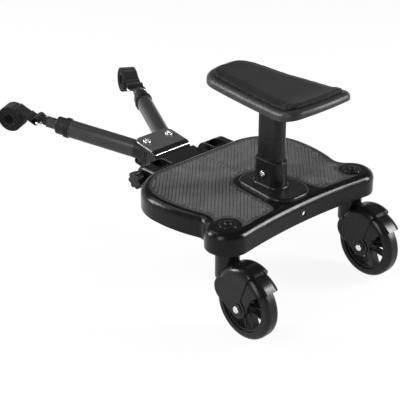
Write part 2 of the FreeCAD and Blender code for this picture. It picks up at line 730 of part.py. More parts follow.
def dish_slab(lower, upper):
    """Dished slab across the whole seat between two heights over the saddle line."""
    front = SEAT_FRONT + SEAT_OVERRUN
    rear = -SEAT_REAR - SEAT_OVERRUN
    edges = dish_line(lower) + dish_line(upper)
    edges.append(line(dish_point(front, lower), dish_point(front, upper)))
    edges.append(line(dish_point(rear, lower), dish_point(rear, upper)))
    wire = Part.Wire(Part.__sortEdges__(edges))
    half_width = SEAT_REAR_HALF_WIDTH + SEAT_OVERRUN
    return to_side(plate(wire, -half_width, half_width))


def dish_edges(slab, rise):
    """Edges round the face of a dished slab that lies at a height over the saddle line."""
    found = []
    for edge in slab.Edges:
        middle = edge.valueAt((edge.FirstParameter + edge.LastParameter) / 2)
        seam = edge.BoundBox.YLength < 0.01 and edge.BoundBox.XLength > SEAT_FRONT_HALF_WIDTH
        if not seam and abs(middle.z - dish_height(middle.y, rise)) < 0.1:
            found.append(edge)
    return found


def seat_shell():
    """Dished saddle moulding with a turned-down rim and a solid block over the post plate."""
    shell = dish_slab(-SEAT_RIM, 0).common(seat_prism(0))
    shell = shell.makeFillet(SEAT_EDGE_RADIUS, dish_edges(shell, 0))
    hollow = dish_slab(-2 * SEAT_RIM, -SEAT_SHELL_WALL).common(seat_prism(SEAT_SHELL_WALL))
    block = screw_pad(SCREW_BORDER + SEAT_BLOCK_BORDER, SEAT_PLATE_TOP, SEAT_Z - SEAT_SHELL_WALL / 2)
    shell = shell.cut(hollow).fuse(block).removeSplitter()
    for x, y in screw_places():
        shell = shell.cut(rod_z(FOOT_SCREW_RADIUS, SEAT_PLATE_Z, SEAT_PLATE_TOP + SEAT_SCREW_GRIP, x, y))
    return shell


def seat_pad():
    """Thin pad on the saddle, which curls up with it at the rear."""
    pad = dish_slab(0, PAD_THICKNESS).common(seat_prism(PAD_INSET))
    return pad.makeFillet(PAD_EDGE_RADIUS, dish_edges(pad, PAD_THICKNESS))


def seat_plate():
    """Plate on top of the post."""
    block = screw_pad(SCREW_BORDER, SEAT_PLATE_Z, SEAT_PLATE_TOP)
    for x, y in screw_places():
        block = block.cut(rod_z(FOOT_SCREW_RADIUS, SEAT_PLATE_Z - 1, SEAT_PLATE_TOP + 1, x, y))
    return block


def upward_screws(shoulder, tip):
    """Four screws driven upward, with their heads under a shoulder."""
    screws = []
    for x, y in screw_places():
        head = dome_head(2 * FOOT_SCREW_RADIUS, FOOT_SCREW_HEAD_HEIGHT, -shoulder, x, y)
        shank = rod_z(FOOT_SCREW_RADIUS, shoulder, tip, x, y)
        screws.append(shank.fuse(head.mirror(ORIGIN, Z_AXIS)))
    return screws


def disc(radius, width):
    """Round block about the X axis."""
    return rod_x(radius, -width / 2, width / 2, 0, 0)


def rounded_disc(radius, width, shoulder):
    """Round block about the X axis with rounded shoulders."""
    block = disc(radius, width)
    rims = [edge for edge in block.Edges if edge.BoundBox.XLength < 0.01]
    return block.makeFillet(shoulder, rims)


def at_hub(solid):
    """Move a solid drawn about the X axis to the wheel axis of a castor."""
    return solid.translated(Vector(0, -TRAIL, WHEEL_RADIUS))


def side_prism(corners):
    """Block as wide as the fork on a side view about the wheel axis."""
    return to_side(plate(closed_wire(corners), -FORK_WIDTH, FORK_WIDTH))


def fork_crown():
    """Domed crown of a castor fork with the front of both legs, down to the round toe in front of the axle."""
    dome = rounded_disc(CROWN_RADIUS, FORK_WIDTH, FORK_SHOULDER).translated(Vector(0, 0, CROWN_RISE))
    toe = rounded_disc(TOE_RADIUS, FORK_WIDTH, TOE_EDGE_RADIUS).translated(Vector(0, TOE_REACH, TOE_RISE))
    beyond = 2 * CROWN_RADIUS
    toe_foot = Vector(TOE_REACH, TOE_RISE - TOE_RADIUS, 0)
    side = side_prism([
        ORIGIN, polar(ORIGIN, FORK_BOSS_RADIUS, -60), toe_foot,
        polar(toe_foot, CROWN_RADIUS, 40), Vector(beyond, beyond, 0),
        polar(ORIGIN, beyond, CROWN_END),
    ])
    return dome.common(side).fuse(toe)


def fork_fender():
    """Fender behind the crown and the cheeks under it, cut away in a scallop above the axle."""
    beyond = 2 * FENDER_RADIUS
    fender = rounded_disc(FENDER_RADIUS, FENDER_WIDTH, FORK_SHOULDER)
    fender = fender.common(side_prism([
        ORIGIN, polar(ORIGIN, beyond, FENDER_START), polar(ORIGIN, beyond, FENDER_END),
    ]))
    cheek = rounded_disc(CHEEK_RADIUS, FENDER_WIDTH, CHEEK_EDGE_RADIUS)
    cheek = cheek.common(side_prism([
        ORIGIN, polar(ORIGIN, beyond, FENDER_START), polar(ORIGIN, beyond, FENDER_END),
        Vector(-beyond, 0, 0),
    ]))
    scallop = rod_x(SCALLOP_RADIUS, -FORK_WIDTH, FORK_WIDTH, -SCALLOP_REACH, SCALLOP_RISE)
    return fender.fuse(cheek).cut(scallop)


def fork():
    """Castor fork about its swivel axis."""
    boss = disc(FORK_BOSS_RADIUS, FORK_WIDTH)
    ring = disc(FORK_RING_RADIUS, FORK_WIDTH + 2 * FORK_RING_RISE)
    stem = rod_z(STEM_RADIUS, WHEEL_RADIUS + STEM_FOOT, STEM_TOP, 0, 0)
    stem = stem.makeFillet(STEM_FOOT_RADIUS, edges_at_height(stem, WHEEL_RADIUS + STEM_FOOT))
    body = fork_crown().fuse([fork_fender(), boss, ring])
    body = at_hub(body).fuse(stem).removeSplitter()
    body = body.cut(at_hub(disc(CAVITY_RADIUS, WHEEL_SPACE)))
    half_space = WHEEL_SPACE / 2
    slot = box(-half_space, half_space, -CROWN_TOP, 2 * TRAIL, -WHEEL_RADIUS, STEM_FOOT / 2)
    body = body.cut(at_hub(slot))
    body = body.cut(at_hub(disc(AXLE_RADIUS, 2 * FORK_WIDTH)))
    body = body.cut(rod_z(SWIVEL_BUSH_RADIUS, SWIVEL_NUT_TOP, STEM_TOP + 1, 0, 0))
    return body.cut(rod_z(SWIVEL_NUT_WIDTH / 2 + SWIVEL_NUT_ROOM, WHEEL_RADIUS, SWIVEL_NUT_TOP, 0, 0))


def swivel_bush():
    """Sleeve pressed into the fork stem."""
    sleeve = rod_z(SWIVEL_BUSH_RADIUS, SWIVEL_NUT_TOP, STEM_TOP, 0, 0)
    return sleeve.cut(rod_z(SWIVEL_BOLT_RADIUS + RUNNING_CLEARANCE, SWIVEL_NUT_TOP - 1, STEM_TOP + 1, 0, 0))


def swivel_bolt():
    """Bolt from the deck through the fork stem, with a cross in its head."""
    head_bottom = DECK_TOP + CUP_WASHER_THICKNESS - CUP_WASHER_SINK
    head = cross_head(SWIVEL_BOLT_HEAD_RADIUS, SWIVEL_BOLT_HEAD_HEIGHT, head_bottom, 0, 0)
    return rod_z(SWIVEL_BOLT_RADIUS, SWIVEL_NUT_BOTTOM - 1, head_bottom, 0, 0).fuse(head)


def swivel_nut():
    """Lock nut under the fork stem, just clear of the sleeve above it."""
    nut = hexagon(SWIVEL_NUT_WIDTH, SWIVEL_NUT_BOTTOM, SWIVEL_NUT_TOP - SIDE_CLEARANCE, 0, 0)
    return nut.cut(rod_z(SWIVEL_BOLT_RADIUS, SWIVEL_NUT_BOTTOM - 1, SWIVEL_NUT_TOP, 0, 0))


def swivel_washer():
    """Thrust washer between deck boss and fork stem."""
    bottom = STEM_TOP + SIDE_CLEARANCE
    ring = rod_z(SWIVEL_WASHER_RADIUS, bottom, DECK_BOTTOM, 0, 0)
    return ring.cut(rod_z(SWIVEL_BOLT_RADIUS, bottom - 1, DECK_BOTTOM + 1, 0, 0))


def cup_washer():
    """Domed washer under the head of a swivel bolt."""
    bottom = DECK_TOP - CUP_WASHER_SINK
    washer = dome_head(CUP_WASHER_RADIUS, CUP_WASHER_THICKNESS, bottom, 0, 0)
    return washer.cut(rod_z(SWIVEL_BOLT_RADIUS, bottom - 1, DECK_TOP + CUP_WASHER_THICKNESS, 0, 0))


def axle():
    """Axle bolt with domed ends outside the fork."""
    half = FORK_WIDTH / 2 + FORK_RING_RISE
    head = dome_head(AXLE_HEAD_RADIUS, AXLE_HEAD_HEIGHT, half, 0, 0).rotated(ORIGIN, Y_AXIS, 90)
    return at_hub(disc(AXLE_RADIUS, 2 * half).fuse(both_sides(head)))


def wheel_core():
    """Spoked wheel centre about the X axis."""
    rim_radius = WHEEL_RADIUS - TYRE_DEPTH
    rim = disc(rim_radius, RIM_WIDTH).cut(disc(rim_radius - RIM_DEPTH, RIM_WIDTH + 2))
    pieces = [disc(HUB_RADIUS, HUB_WIDTH)]
    outer = rim_radius - RIM_DEPTH / 2
    inner = HUB_RADIUS - SPOKE_THICKNESS / 2
    half_thickness = SPOKE_THICKNESS / 2
    half_width = SPOKE_WIDTH / 2
    for pair in range(SPOKE_PAIRS):
        middle = 360.0 * pair / SPOKE_PAIRS
        for lean in (-SPOKE_SPREAD, SPOKE_SPREAD):
            start = polar(ORIGIN, inner, middle + lean / 3)
            end = polar(ORIGIN, outer, middle + lean)
            blade = box(0, (end - start).Length, -half_thickness, half_thickness, -half_width, half_width)
            blade.rotate(ORIGIN, Z_AXIS, bearing(start, end))
            pieces.append(to_side(blade.translated(start)))
    core = rim.fuse(pieces).removeSplitter()
    core = core.cut(disc(AXLE_RADIUS + HUB_BORE_CLEARANCE, HUB_WIDTH + 2))
    seat = rod_x(BEARING_RADIUS, HUB_WIDTH / 2 - BEARING_WIDTH, HUB_WIDTH / 2, 0, 0)
    for bearing_seat in both_sides(seat):
        core = core.cut(bearing_seat)
    return core


def bearing_rings():
    """Two ball bearing rings, one at each end of the hub."""
    ring = rod_x(BEARING_RADIUS, HUB_WIDTH / 2 - BEARING_WIDTH, HUB_WIDTH / 2, 0, 0)
    return both_sides(ring.cut(disc(AXLE_RADIUS + RUNNING_CLEARANCE, HUB_WIDTH + 2)))


def tyre():
    """Solid tyre with rounded shoulders about the X axis."""
    body = rounded_disc(WHEEL_RADIUS, TYRE_WIDTH, TYRE_SHOULDER)
    return body.cut(disc(WHEEL_RADIUS - TYRE_DEPTH, TYRE_WIDTH + 2))


def hinge_rod():
    """Rod through the knuckles, threaded end at the left."""
    left = -KNUCKLE_OUTER - KNOB_NECK - KNOB_THICKNESS + KNOB_CAP
    head = dome_head(ROD_HEAD_RADIUS - ROD_HEAD_CLEARANCE, ROD_HEAD_HEIGHT, 0, 0, 0)
    head = head.rotated(ORIGIN, Y_AXIS, 90).translated(Vector(ROD_SHOULDER, HINGE_Y, HINGE_Z))
    return rod_x(ROD_RADIUS, left, ROD_SHOULDER, HINGE_Y, HINGE_Z).fuse(head)


def hinge_knob():
    """Star knob on the left end of the rod, with its threaded insert."""
    lobe_radius = KNOB_LOBE_SHARE * KNOB_RADIUS
    centre_radius = KNOB_RADIUS - lobe_radius
    pieces = []
    for lobe in range(KNOB_LOBES):
        spot = polar(ORIGIN, centre_radius, 360.0 * lobe / KNOB_LOBES)
        pieces.append(rod_z(lobe_radius, 0, KNOB_THICKNESS, spot.x, spot.y))
    star = rod_z(centre_radius + lobe_radius / 4, 0, KNOB_THICKNESS, 0, 0).fuse(pieces).removeSplitter()
    star = star.makeFillet(KNOB_EDGE_RADIUS, edges_at_height(star, KNOB_THICKNESS))
    neck_end = SIDE_CLEARANCE - KNOB_NECK
    star = star.fuse(rod_z(KNOB_NECK_RADIUS, neck_end, 1, 0, 0)).removeSplitter()
    insert_radius = ROD_RADIUS + KNOB_INSERT_WALL
    depth = KNOB_THICKNESS - KNOB_CAP + SIDE_CLEARANCE
    star = star.cut(rod_z(insert_radius, neck_end - 1, depth, 0, 0))
    insert = rod_z(insert_radius, neck_end, depth, 0, 0)
    insert = insert.cut(rod_z(ROD_RADIUS + RUNNING_CLEARANCE, neck_end - 1, depth + 1, 0, 0))
    at_left = Vector(-KNUCKLE_OUTER - KNOB_NECK, HINGE_Y, HINGE_Z)
    return [solid.rotated(ORIGIN, Y_AXIS, -90).translated(at_left) for solid in (star, insert)]


def on_hinge(solid):
    """Place a solid of the arm head, drawn about the hinge axis, at the hinge with its pitch."""
    return solid.rotated(ORIGIN, X_AXIS, HEAD_PITCH).translated(Vector(0, HINGE_Y, HINGE_Z))


def head_plan(bottom, top):
    """Plate on the plan of the arm head."""
    wide = HEAD_HALF_WIDTH
    wire = rounded_wire([
        (wide, HEAD_REAR, HEAD_REAR_RADIUS), (wide, HEAD_FRONT, HEAD_FRONT_RADIUS),
        (-wide, HEAD_FRONT, HEAD_FRONT_RADIUS), (-wide, HEAD_REAR, HEAD_REAR_RADIUS),
    ])
    return plate(wire, bottom, top)


def cover_slab(bottom, top):
    """Slab over the arm head between two heights, which slopes down behind the bend of the cover."""
    wire = closed_wire([
        Vector(HEAD_FRONT, bottom, 0), Vector(HEAD_BEND, bottom, 0),
        Vector(HEAD_REAR, bottom - COVER_LIP_DROP, 0), Vector(HEAD_REAR, top - COVER_LIP_DROP, 0),
        Vector(HEAD_BEND, top, 0), Vector(HEAD_FRONT, top, 0),
    ])
    return to_side(plate(wire, -HEAD_HALF_WIDTH, HEAD_HALF_WIDTH))


def pivot_holes(radius, bottom, top):
    """Bars at both arm pivots."""
    return [rod_z(radius, bottom, top, side * PIVOT_X, PIVOT_Y) for side in (-1, 1)]


def head_side_wall():
    """Right wall of the arm head, with two slots in its outer face."""
    wide = HEAD_HALF_WIDTH
    wall_front = PIVOT_Y - HEAD_WALL_STOP
    wall = box(wide - HEAD_WALL, wide, HEAD_REAR, wall_front, FLOOR_TOP, COVER_BOTTOM)
    bottom = FLOOR_TOP + HEAD_SLOT_MARGIN
    top = COVER_BOTTOM - HEAD_SLOT_MARGIN
    for step in (1, 3):
        y = wall_front - HEAD_SLOT_WIDTH * (step + 1)
        wall = wall.cut(box(wide - HEAD_SLOT_DEPTH, wide + 1, y, y + HEAD_SLOT_WIDTH, bottom, top))
    return wall


def head_housing():
    """Housing of the arm head: hinge barrel with a wide pocket, web, walls and floor."""
    wide = HEAD_HALF_WIDTH
    divider_half = HEAD_WALL / 2
    barrel_half = KNUCKLE_INNER - SIDE_CLEARANCE
    pieces = both_sides(head_side_wall())
    pieces.append(box(-wide, wide, HEAD_REAR, HEAD_REAR + HEAD_WALL, FLOOR_TOP, COVER_BOTTOM))
    pieces.append(box(-divider_half, divider_half, HEAD_REAR, PIVOT_Y, FLOOR_TOP, COVER_BOTTOM))
    pieces.append(rod_x(BARREL_RADIUS, -barrel_half, barrel_half, 0, 0))
    pieces.append(box(-wide, wide, 0, HEAD_REAR + 1, -BARREL_RADIUS, BARREL_RADIUS))
    body = head_plan(FLOOR_BOTTOM, FLOOR_TOP).fuse(pieces).removeSplitter()
    body = body.cut(cover_slab(COVER_BOTTOM, COVER_BOTTOM + SOCKET_SPACE))
    pocket_half = barrel_half - KNUCKLE_WALL
    pocket_floor = ROD_RADIUS + ROD_COVER
    groove_floor = pocket_floor - HEAD_GROOVE_DROP
    top = 2 * BARREL_RADIUS
    body = body.cut(box(-pocket_half, pocket_half, -BARREL_RADIUS, HEAD_REAR, pocket_floor, top))
    body = body.cut(box(-pocket_half, pocket_half, HEAD_REAR - HEAD_GROOVE, HEAD_REAR, groove_floor, top))
    body = body.cut(rod_x(ROD_RADIUS + RUNNING_CLEARANCE, -barrel_half - 1, barrel_half + 1, 0, 0))
    for hole in pivot_holes(PIVOT_RADIUS, FLOOR_BOTTOM - 1, FLOOR_TOP + 1):
        body = body.cut(hole)
    return on_hinge(body)


def head_cover():
    """Metal cover plate of the arm head, bent down at its rear, with bevelled top edges."""
    cover = cover_slab(COVER_BOTTOM, COVER_TOP).common(head_plan(FLOOR_TOP, COVER_TOP + 1))
    bevelled = []
    for edge in edges_at_height(cover, COVER_TOP):
        if edge.BoundBox.YMin > HEAD_BEND + 0.01:
            bevelled.append(edge)
    cover = cover.makeChamfer(COVER_BEVEL, bevelled)
    for hole in pivot_holes(PIVOT_RADIUS, COVER_BOTTOM - 1, COVER_TOP + 1):
        cover = cover.cut(hole)
    return on_hinge(cover)


def pivot_screws():
    """Pan head screws that the arms turn on, and the nuts under the floor."""
    nut_bottom = FLOOR_BOTTOM - PIVOT_NUT_HEIGHT
    screws = []
    nuts = []
    for side in (-1, 1):
        x = side * PIVOT_X
        head = cross_head(PIVOT_HEAD_RADIUS, PIVOT_HEAD_HEIGHT, COVER_TOP, x, PIVOT_Y)
        shank = rod_z(PIVOT_RADIUS, nut_bottom - 1, COVER_TOP, x, PIVOT_Y)
        nut = hexagon(PIVOT_NUT_WIDTH, nut_bottom, FLOOR_BOTTOM, x, PIVOT_Y)
        screws.append(on_hinge(shank.fuse(head)))
        nuts.append(on_hinge(nut.cut(shank)))
    return screws, nuts


def tube_bar(width, height, start, end):
    """Flat-sided oval bar along an arm."""
    return along_y(rounded_block(width, height, width / 2 - 0.01, start, end))


def on_arm(solid, side):
    """Place a solid, drawn along Y from an arm pivot, on the left (-1) or right (1) arm."""
    turned = solid.rotated(ORIGIN, Z_AXIS, -side * ARM_YAW)
    return on_hinge(turned.translated(Vector(side * PIVOT_X, PIVOT_Y, -ARM_DROP)))


def arm_bore(growth, start, end):
    """Bar that fills the inside of an outer tube, grown on every side."""
    wall = ARM_WALL - growth
    return tube_bar(ARM_WIDTH - 2 * wall, ARM_HEIGHT - 2 * wall, start, end)


def arm_socket():
    """Pivot block in the near end of an outer tube."""
    boss = rod_z(SOCKET_RADIUS, -SOCKET_HEIGHT / 2, SOCKET_HEIGHT / 2, 0, 0)
    neck = tube_bar(ARM_WIDTH, ARM_HEIGHT, 0, ARM_START)
    body = boss.fuse([neck, arm_bore(0, ARM_START - 1, INNER_START - ARM_WALL)]).removeSplitter()
    return body.cut(rod_z(PIVOT_RADIUS + RUNNING_CLEARANCE, -SOCKET_HEIGHT, SOCKET_HEIGHT, 0, 0))


def outer_tube():
    """Outer tube of an arm."""
    return tube_bar(ARM_WIDTH, ARM_HEIGHT, ARM_START, ARM_END).cut(arm_bore(0, ARM_START - 1, ARM_END + 1))


def ferrule():
    """End collar of an outer tube that guides the inner tube: sleeve, ring and nose."""
    sleeve = arm_bore(0, ARM_END - FERRULE_SLEEVE, ARM_END + 1)
    ring = tube_bar(ARM_WIDTH + 2 * RING_RISE, ARM_HEIGHT + 2 * RING_RISE, ARM_END, ARM_END + RING_LENGTH)
    nose = tube_bar(ARM_WIDTH - 2 * FERRULE_INSET, ARM_HEIGHT - 2 * FERRULE_INSET, ARM_END + 1, FERRULE_END)
    tip = [edge for edge in nose.Edges if edge.BoundBox.YMin > FERRULE_END - 0.01]
    nose = nose.makeFillet(FERRULE_EDGE_RADIUS, tip)
    body = sleeve.fuse([ring, nose]).removeSplitter()
    growth = 2 * SLIDE_CLEARANCE
    return body.cut(tube_bar(INNER_WIDTH + growth, INNER_HEIGHT + growth, ARM_START, FERRULE_END + 1))


def inner_bore(start, end):
    """Bar that fills the inside of an inner tube."""
    return tube_bar(INNER_WIDTH - 2 * INNER_WALL, INNER_HEIGHT - 2 * INNER_WALL, start, end)


def inner_tube():
    """Inner tube of an arm, with its adjusting hole near the collar."""
    tube = tube_bar(INNER_WIDTH, INNER_HEIGHT, INNER_START, INNER_END)
    tube = tube.cut(inner_bore(INNER_START - 1, INNER_END + 1))
    return tube.cut(rod_z(INNER_HOLE_RADIUS, 0, ARM_HEIGHT, 0, FERRULE_END + INNER_HOLE_REACH))


def guide_shoe():
    """Shoe that centres the near end of an inner tube in the outer one."""
    end = INNER_START + SHOE_LENGTH
    shoe = arm_bore(-SLIDE_CLEARANCE, INNER_START, end)
    return shoe.cut(tube_bar(INNER_WIDTH, INNER_HEIGHT, INNER_START - 1, end + 1))


def end_plug():
    """Plug in the far end of an inner tube, with the eye for the strap ring."""
    stub = inner_bore(INNER_END - PLUG_STUB, INNER_END + 1)
    cap = tube_bar(INNER_WIDTH, INNER_HEIGHT, INNER_END, INNER_END + PLUG_CAP)
    tip = [edge for edge in cap.Edges if edge.BoundBox.YMin > INNER_END + PLUG_CAP - 0.01]
    cap = cap.makeFillet(PLUG_CAP / 2, tip)
    half = PLUG_LUG_WIDTH / 2
    lug = rod_x(PLUG_LUG_RADIUS, -half, half, RING_BAR, 0)
    neck = box(-half, half, INNER_END + 1, RING_BAR, -PLUG_LUG_RADIUS, PLUG_LUG_RADIUS)
    eye = rod_x(RING_WIRE_RADIUS + RUNNING_CLEARANCE, -RING_WIDTH, RING_WIDTH, RING_BAR, 0)
    return stub.fuse([cap, lug, neck]).removeSplitter().cut(eye)


def strap_ring():
    """Steel wire ring through the eye of the end plug."""
    half = RING_WIDTH / 2 - RING_WIRE_RADIUS
    radius = RING_WIRE_RADIUS * 2
    path = rounded_wire([
        (half, RING_BAR, radius), (half, RING_FRONT, radius),
        (-half, RING_FRONT, radius), (-half, RING_BAR, radius),
    ])
    start = path.Edges[1].valueAt(path.Edges[1].FirstParameter)
    direction = path.Edges[1].tangentAt(path.Edges[1].FirstParameter)
    section = Part.Wire([Part.makeCircle(RING_WIRE_RADIUS, start, direction)])
    ordered = Part.Wire(path.Edges[1:] + path.Edges[:1])
    return ordered.makePipeShell([section], True, False)


def straight_band(start, end):
    """Straight stretch of strap between two points of its middle line."""
    run = end - start
    run.normalize()
    side = Vector(-run.y, run.x, 0) * (STRAP_THICKNESS / 2)
    wire = closed_wire([start + side, end + side, end - side, start - side])
    return plate(wire, -STRAP_WIDTH / 2, STRAP_WIDTH / 2)


def round_band(centre, start, end):
    """Stretch of strap that turns clockwise about a centre between two points of its middle line."""
    radius = (start - centre).Length
    outer = radius + STRAP_THICKNESS / 2
    inner = radius - STRAP_THICKNESS / 2
    first = bearing(centre, start)
    last = bearing(centre, end)
    wire = Part.Wire([
        turn_about(centre, polar(centre, outer, first), polar(centre, outer, last), True),
        line(polar(centre, outer, last), polar(centre, inner, last)),
        turn_about(centre, polar(centre, inner, last), polar(centre, inner, first), False),
        line(polar(centre, inner, first), polar(centre, outer, first)),
    ])
    return plate(wire, -STRAP_WIDTH / 2, STRAP_WIDTH / 2)


def strap_roll_centre():
    """Centre of the strap roll in the side view of an arm."""
    return Vector(STRAP_EYE + STRAP_ROLL_REACH, -STRAP_ROLL_DROP, 0)


def strap_halves():
    """Half turns of the strap roll from its core outward, on two centres: centre, start and end of each."""
    halves = []
    upper = strap_roll_centre()
    lower = upper - Vector(STRAP_PITCH / 2, 0, 0)
    radius = STRAP_CORE_RADIUS + STRAP_THICKNESS / 2
    for _ in range(STRAP_TURNS):
        halves.append((upper, polar(upper, radius, 180), polar(upper, radius, 0)))
        radius += STRAP_PITCH / 2
        halves.append((lower, polar(lower, radius, 0), polar(lower, radius, 180)))
        radius += STRAP_PITCH / 2
    return halves


def strap():
    """Strap of an arm: wound roll, straight lead and eye round the ring."""
    halves = strap_halves()
    pieces = [round_band(centre, start, end) for centre, start, end in halves]
    outer_end = halves[-1][2]
    roll = strap_roll_centre()
    radius = (outer_end - roll).Length
    eye = Vector(STRAP_EYE, 0, 0)
    swing = math.degrees(math.acos((radius + STRAP_EYE_RADIUS) / (eye - roll).Length))
    leaving = bearing(roll, eye) - swing
    leave = polar(roll, radius, leaving)
    arrive = polar(eye, STRAP_EYE_RADIUS, leaving + 180)
    pieces.append(round_band(roll, outer_end, leave))
    pieces.append(straight_band(leave, arrive))
    for first, last in ((180, 30), (30, -120)):
        start = polar(eye, STRAP_EYE_RADIUS, leaving + first)
        end = polar(eye, STRAP_EYE_RADIUS, leaving + last)
        pieces.append(round_band(eye, start, end))
    return to_side(pieces[0].fuse(pieces[1:]).removeSplitter())


def strap_gap():
    """Least gap between neighbouring turns of the strap roll, measured on points of its middle line."""
    points = []
    for centre, start, _ in strap_halves():
        first = bearing(centre, start)
        for share in range(20):
            points.append(polar(centre, (start - centre).Length, first - 9 * share))
    least = STRAP_PITCH
    for index, point in enumerate(points):
        for other in points[index + 30:]:
            least = min(least, (point - other).Length)
    return least - STRAP_THICKNESS


def at_castor(solid, side):
    """Place a solid drawn about a swivel axis at the left (-1) or right (1) castor."""
    return solid.translated(Vector(side * TRACK / 2, 0, 0))


def build_nodes():
    """All pieces by name, before they are moved to the middle of the board."""
    nodes = {}
    nodes["deck_shell"] = [deck_shell()]
    nodes["grip_mat"] = [mat_body(MAT_INSET, DECK_TOP - MAT_THICKNESS, DECK_TOP)]
    nodes["seat_foot"] = [seat_foot()]
    nodes["seat_foot_screws"] = upward_screws(DECK_TOP - DECK_PLATE, FLANGE_BOTTOM + FOOT_SCREW_GRIP)
    screw, nut = collar_screw()
    nodes["collar_screw"] = [screw]
    nodes["collar_nut"] = [nut]
    nodes["seat_post"] = [seat_post()]
    nodes["seat_plate"] = [seat_plate()]
    nodes["seat_screws"] = upward_screws(SEAT_PLATE_Z, SEAT_PLATE_TOP + SEAT_SCREW_GRIP)
    nodes["seat_shell"] = [seat_shell()]
    nodes["seat_pad"] = [seat_pad()]
    nodes["hinge_rod"] = [hinge_rod()]
    star, insert = hinge_knob()
    nodes["hinge_knob"] = [star]
    nodes["knob_insert"] = [insert]
    nodes["head_housing"] = [head_housing()]
    nodes["head_cover"] = [head_cover()]
    screws, nuts = pivot_screws()
    nodes["pivot_screws"] = screws
    nodes["pivot_nuts"] = nuts
    castor = {
        "swivel_bolt": swivel_bolt(), "cup_washer": cup_washer(), "swivel_washer": swivel_washer(),
        "swivel_nut": swivel_nut(), "swivel_bush": swivel_bush(), "fork": fork(), "axle": axle(),
    }
    wheel = {"wheel_core": [wheel_core()], "tyre": [tyre()], "wheel_bearings": bearing_rings()}
    arm = {
        "arm_socket": arm_socket(), "outer_tube": outer_tube(), "arm_collar": ferrule(),
        "inner_tube": inner_tube(), "guide_shoe": guide_shoe(), "end_plug": end_plug(),
        "strap_ring": strap_ring(), "strap": strap(),
    }
    for side, name in ((-1, "left"), (1, "right")):
        for piece, solid in castor.items():
            nodes[name + "_" + piece] = [at_castor(solid, side)]
        for piece, solids in wheel.items():
            nodes[name + "_" + piece] = [at_castor(at_hub(solid), side) for solid in solids]
        for piece, solid in arm.items():
            nodes[name + "_" + piece] = [on_arm(solid, side)]
    return nodes


def length_shift(nodes):
    """Move along Y that brings the middle of the board's length to the origin."""
    front = nodes["left_strap"][0].optimalBoundingBox().YMax
    rear = -TRAIL - WHEEL_RADIUS
    return -(front + rear) / 2


def export(nodes, shift):
    """Write each piece to its file."""
    os.makedirs("parts", exist_ok=True)
    for name, solids in nodes.items():
        moved = [solid.translated(Vector(0, shift, 0)) for solid in solids]
        shape = moved[0] if len(moved) == 1 else Part.makeCompound(moved)
        shape.exportStep("parts/" + name + ".step")


NODES = build_nodes()
SHIFT = length_shift(NODES)
export(NODES, SHIFT)
print("strap gap", round(strap_gap(), 2))
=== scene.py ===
"""Ride-on buggy board with a saddle seat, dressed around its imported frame.

Sizes are in metres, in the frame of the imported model: X right, Y forward to the pushchair, Z up
from the floor.
"""

import json
import logging
import math
from dataclasses import dataclass
from enum import Enum

import bmesh
import bpy
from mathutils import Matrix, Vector, noise


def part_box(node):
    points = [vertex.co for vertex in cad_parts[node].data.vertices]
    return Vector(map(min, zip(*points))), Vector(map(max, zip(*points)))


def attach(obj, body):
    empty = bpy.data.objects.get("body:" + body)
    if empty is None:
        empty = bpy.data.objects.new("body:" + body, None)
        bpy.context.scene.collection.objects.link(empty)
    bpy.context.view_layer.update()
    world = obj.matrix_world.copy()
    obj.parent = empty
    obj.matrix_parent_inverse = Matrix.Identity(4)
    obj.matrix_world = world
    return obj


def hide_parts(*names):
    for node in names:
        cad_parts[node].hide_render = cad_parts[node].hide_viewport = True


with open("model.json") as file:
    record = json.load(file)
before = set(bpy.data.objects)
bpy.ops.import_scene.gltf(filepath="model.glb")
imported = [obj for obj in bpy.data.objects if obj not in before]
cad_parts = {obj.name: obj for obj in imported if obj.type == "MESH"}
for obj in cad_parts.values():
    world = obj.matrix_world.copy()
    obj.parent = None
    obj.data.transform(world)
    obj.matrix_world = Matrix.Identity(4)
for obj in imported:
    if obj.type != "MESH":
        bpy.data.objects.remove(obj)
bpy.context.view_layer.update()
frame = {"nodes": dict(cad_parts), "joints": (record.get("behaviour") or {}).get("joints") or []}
MM = 0.001
WELD = 0.01 * MM
WHITE = (1.0, 1.0, 1.0, 1.0)
NOISE_MIDDLE = (0.3, 0.7)
LATTICE_LIFT = 1 * MM
LATTICE_RAY = 4 * MM
UPRIGHT = 0.5
BEAD_CORNERS = 8
THREAD_CORNERS = 8
THREAD_RINGS = 6
LOG = logging.getLogger("buggy_board")

Colour = tuple[float, float, float]
Triple = tuple[float, float, float]
Point = tuple[float, float]
Mesh = bpy.types.Mesh
Piece = bpy.types.Object
Socket = bpy.types.NodeSocket
Surface = tuple[Socket, Socket, Socket]


class Side(Enum):
    """Side of the board, as seen from behind it."""

    LEFT = "left"
    RIGHT = "right"

    def node(self, name: str) -> str:
        """Name of this side's node or body."""
        return f"{self.value}_{name}"


class Slot(Enum):
    """Material slots of the record, passed along with new pieces."""

    MAT = "mat_rubber"
    TYRE = "tyre_rubber"
    ARM = "arm_plastic"
    COVER = "cover_metal"
    DECK = "deck_plastic"
    PAD = "pad_foam"
    STRAP = "strap_webbing"


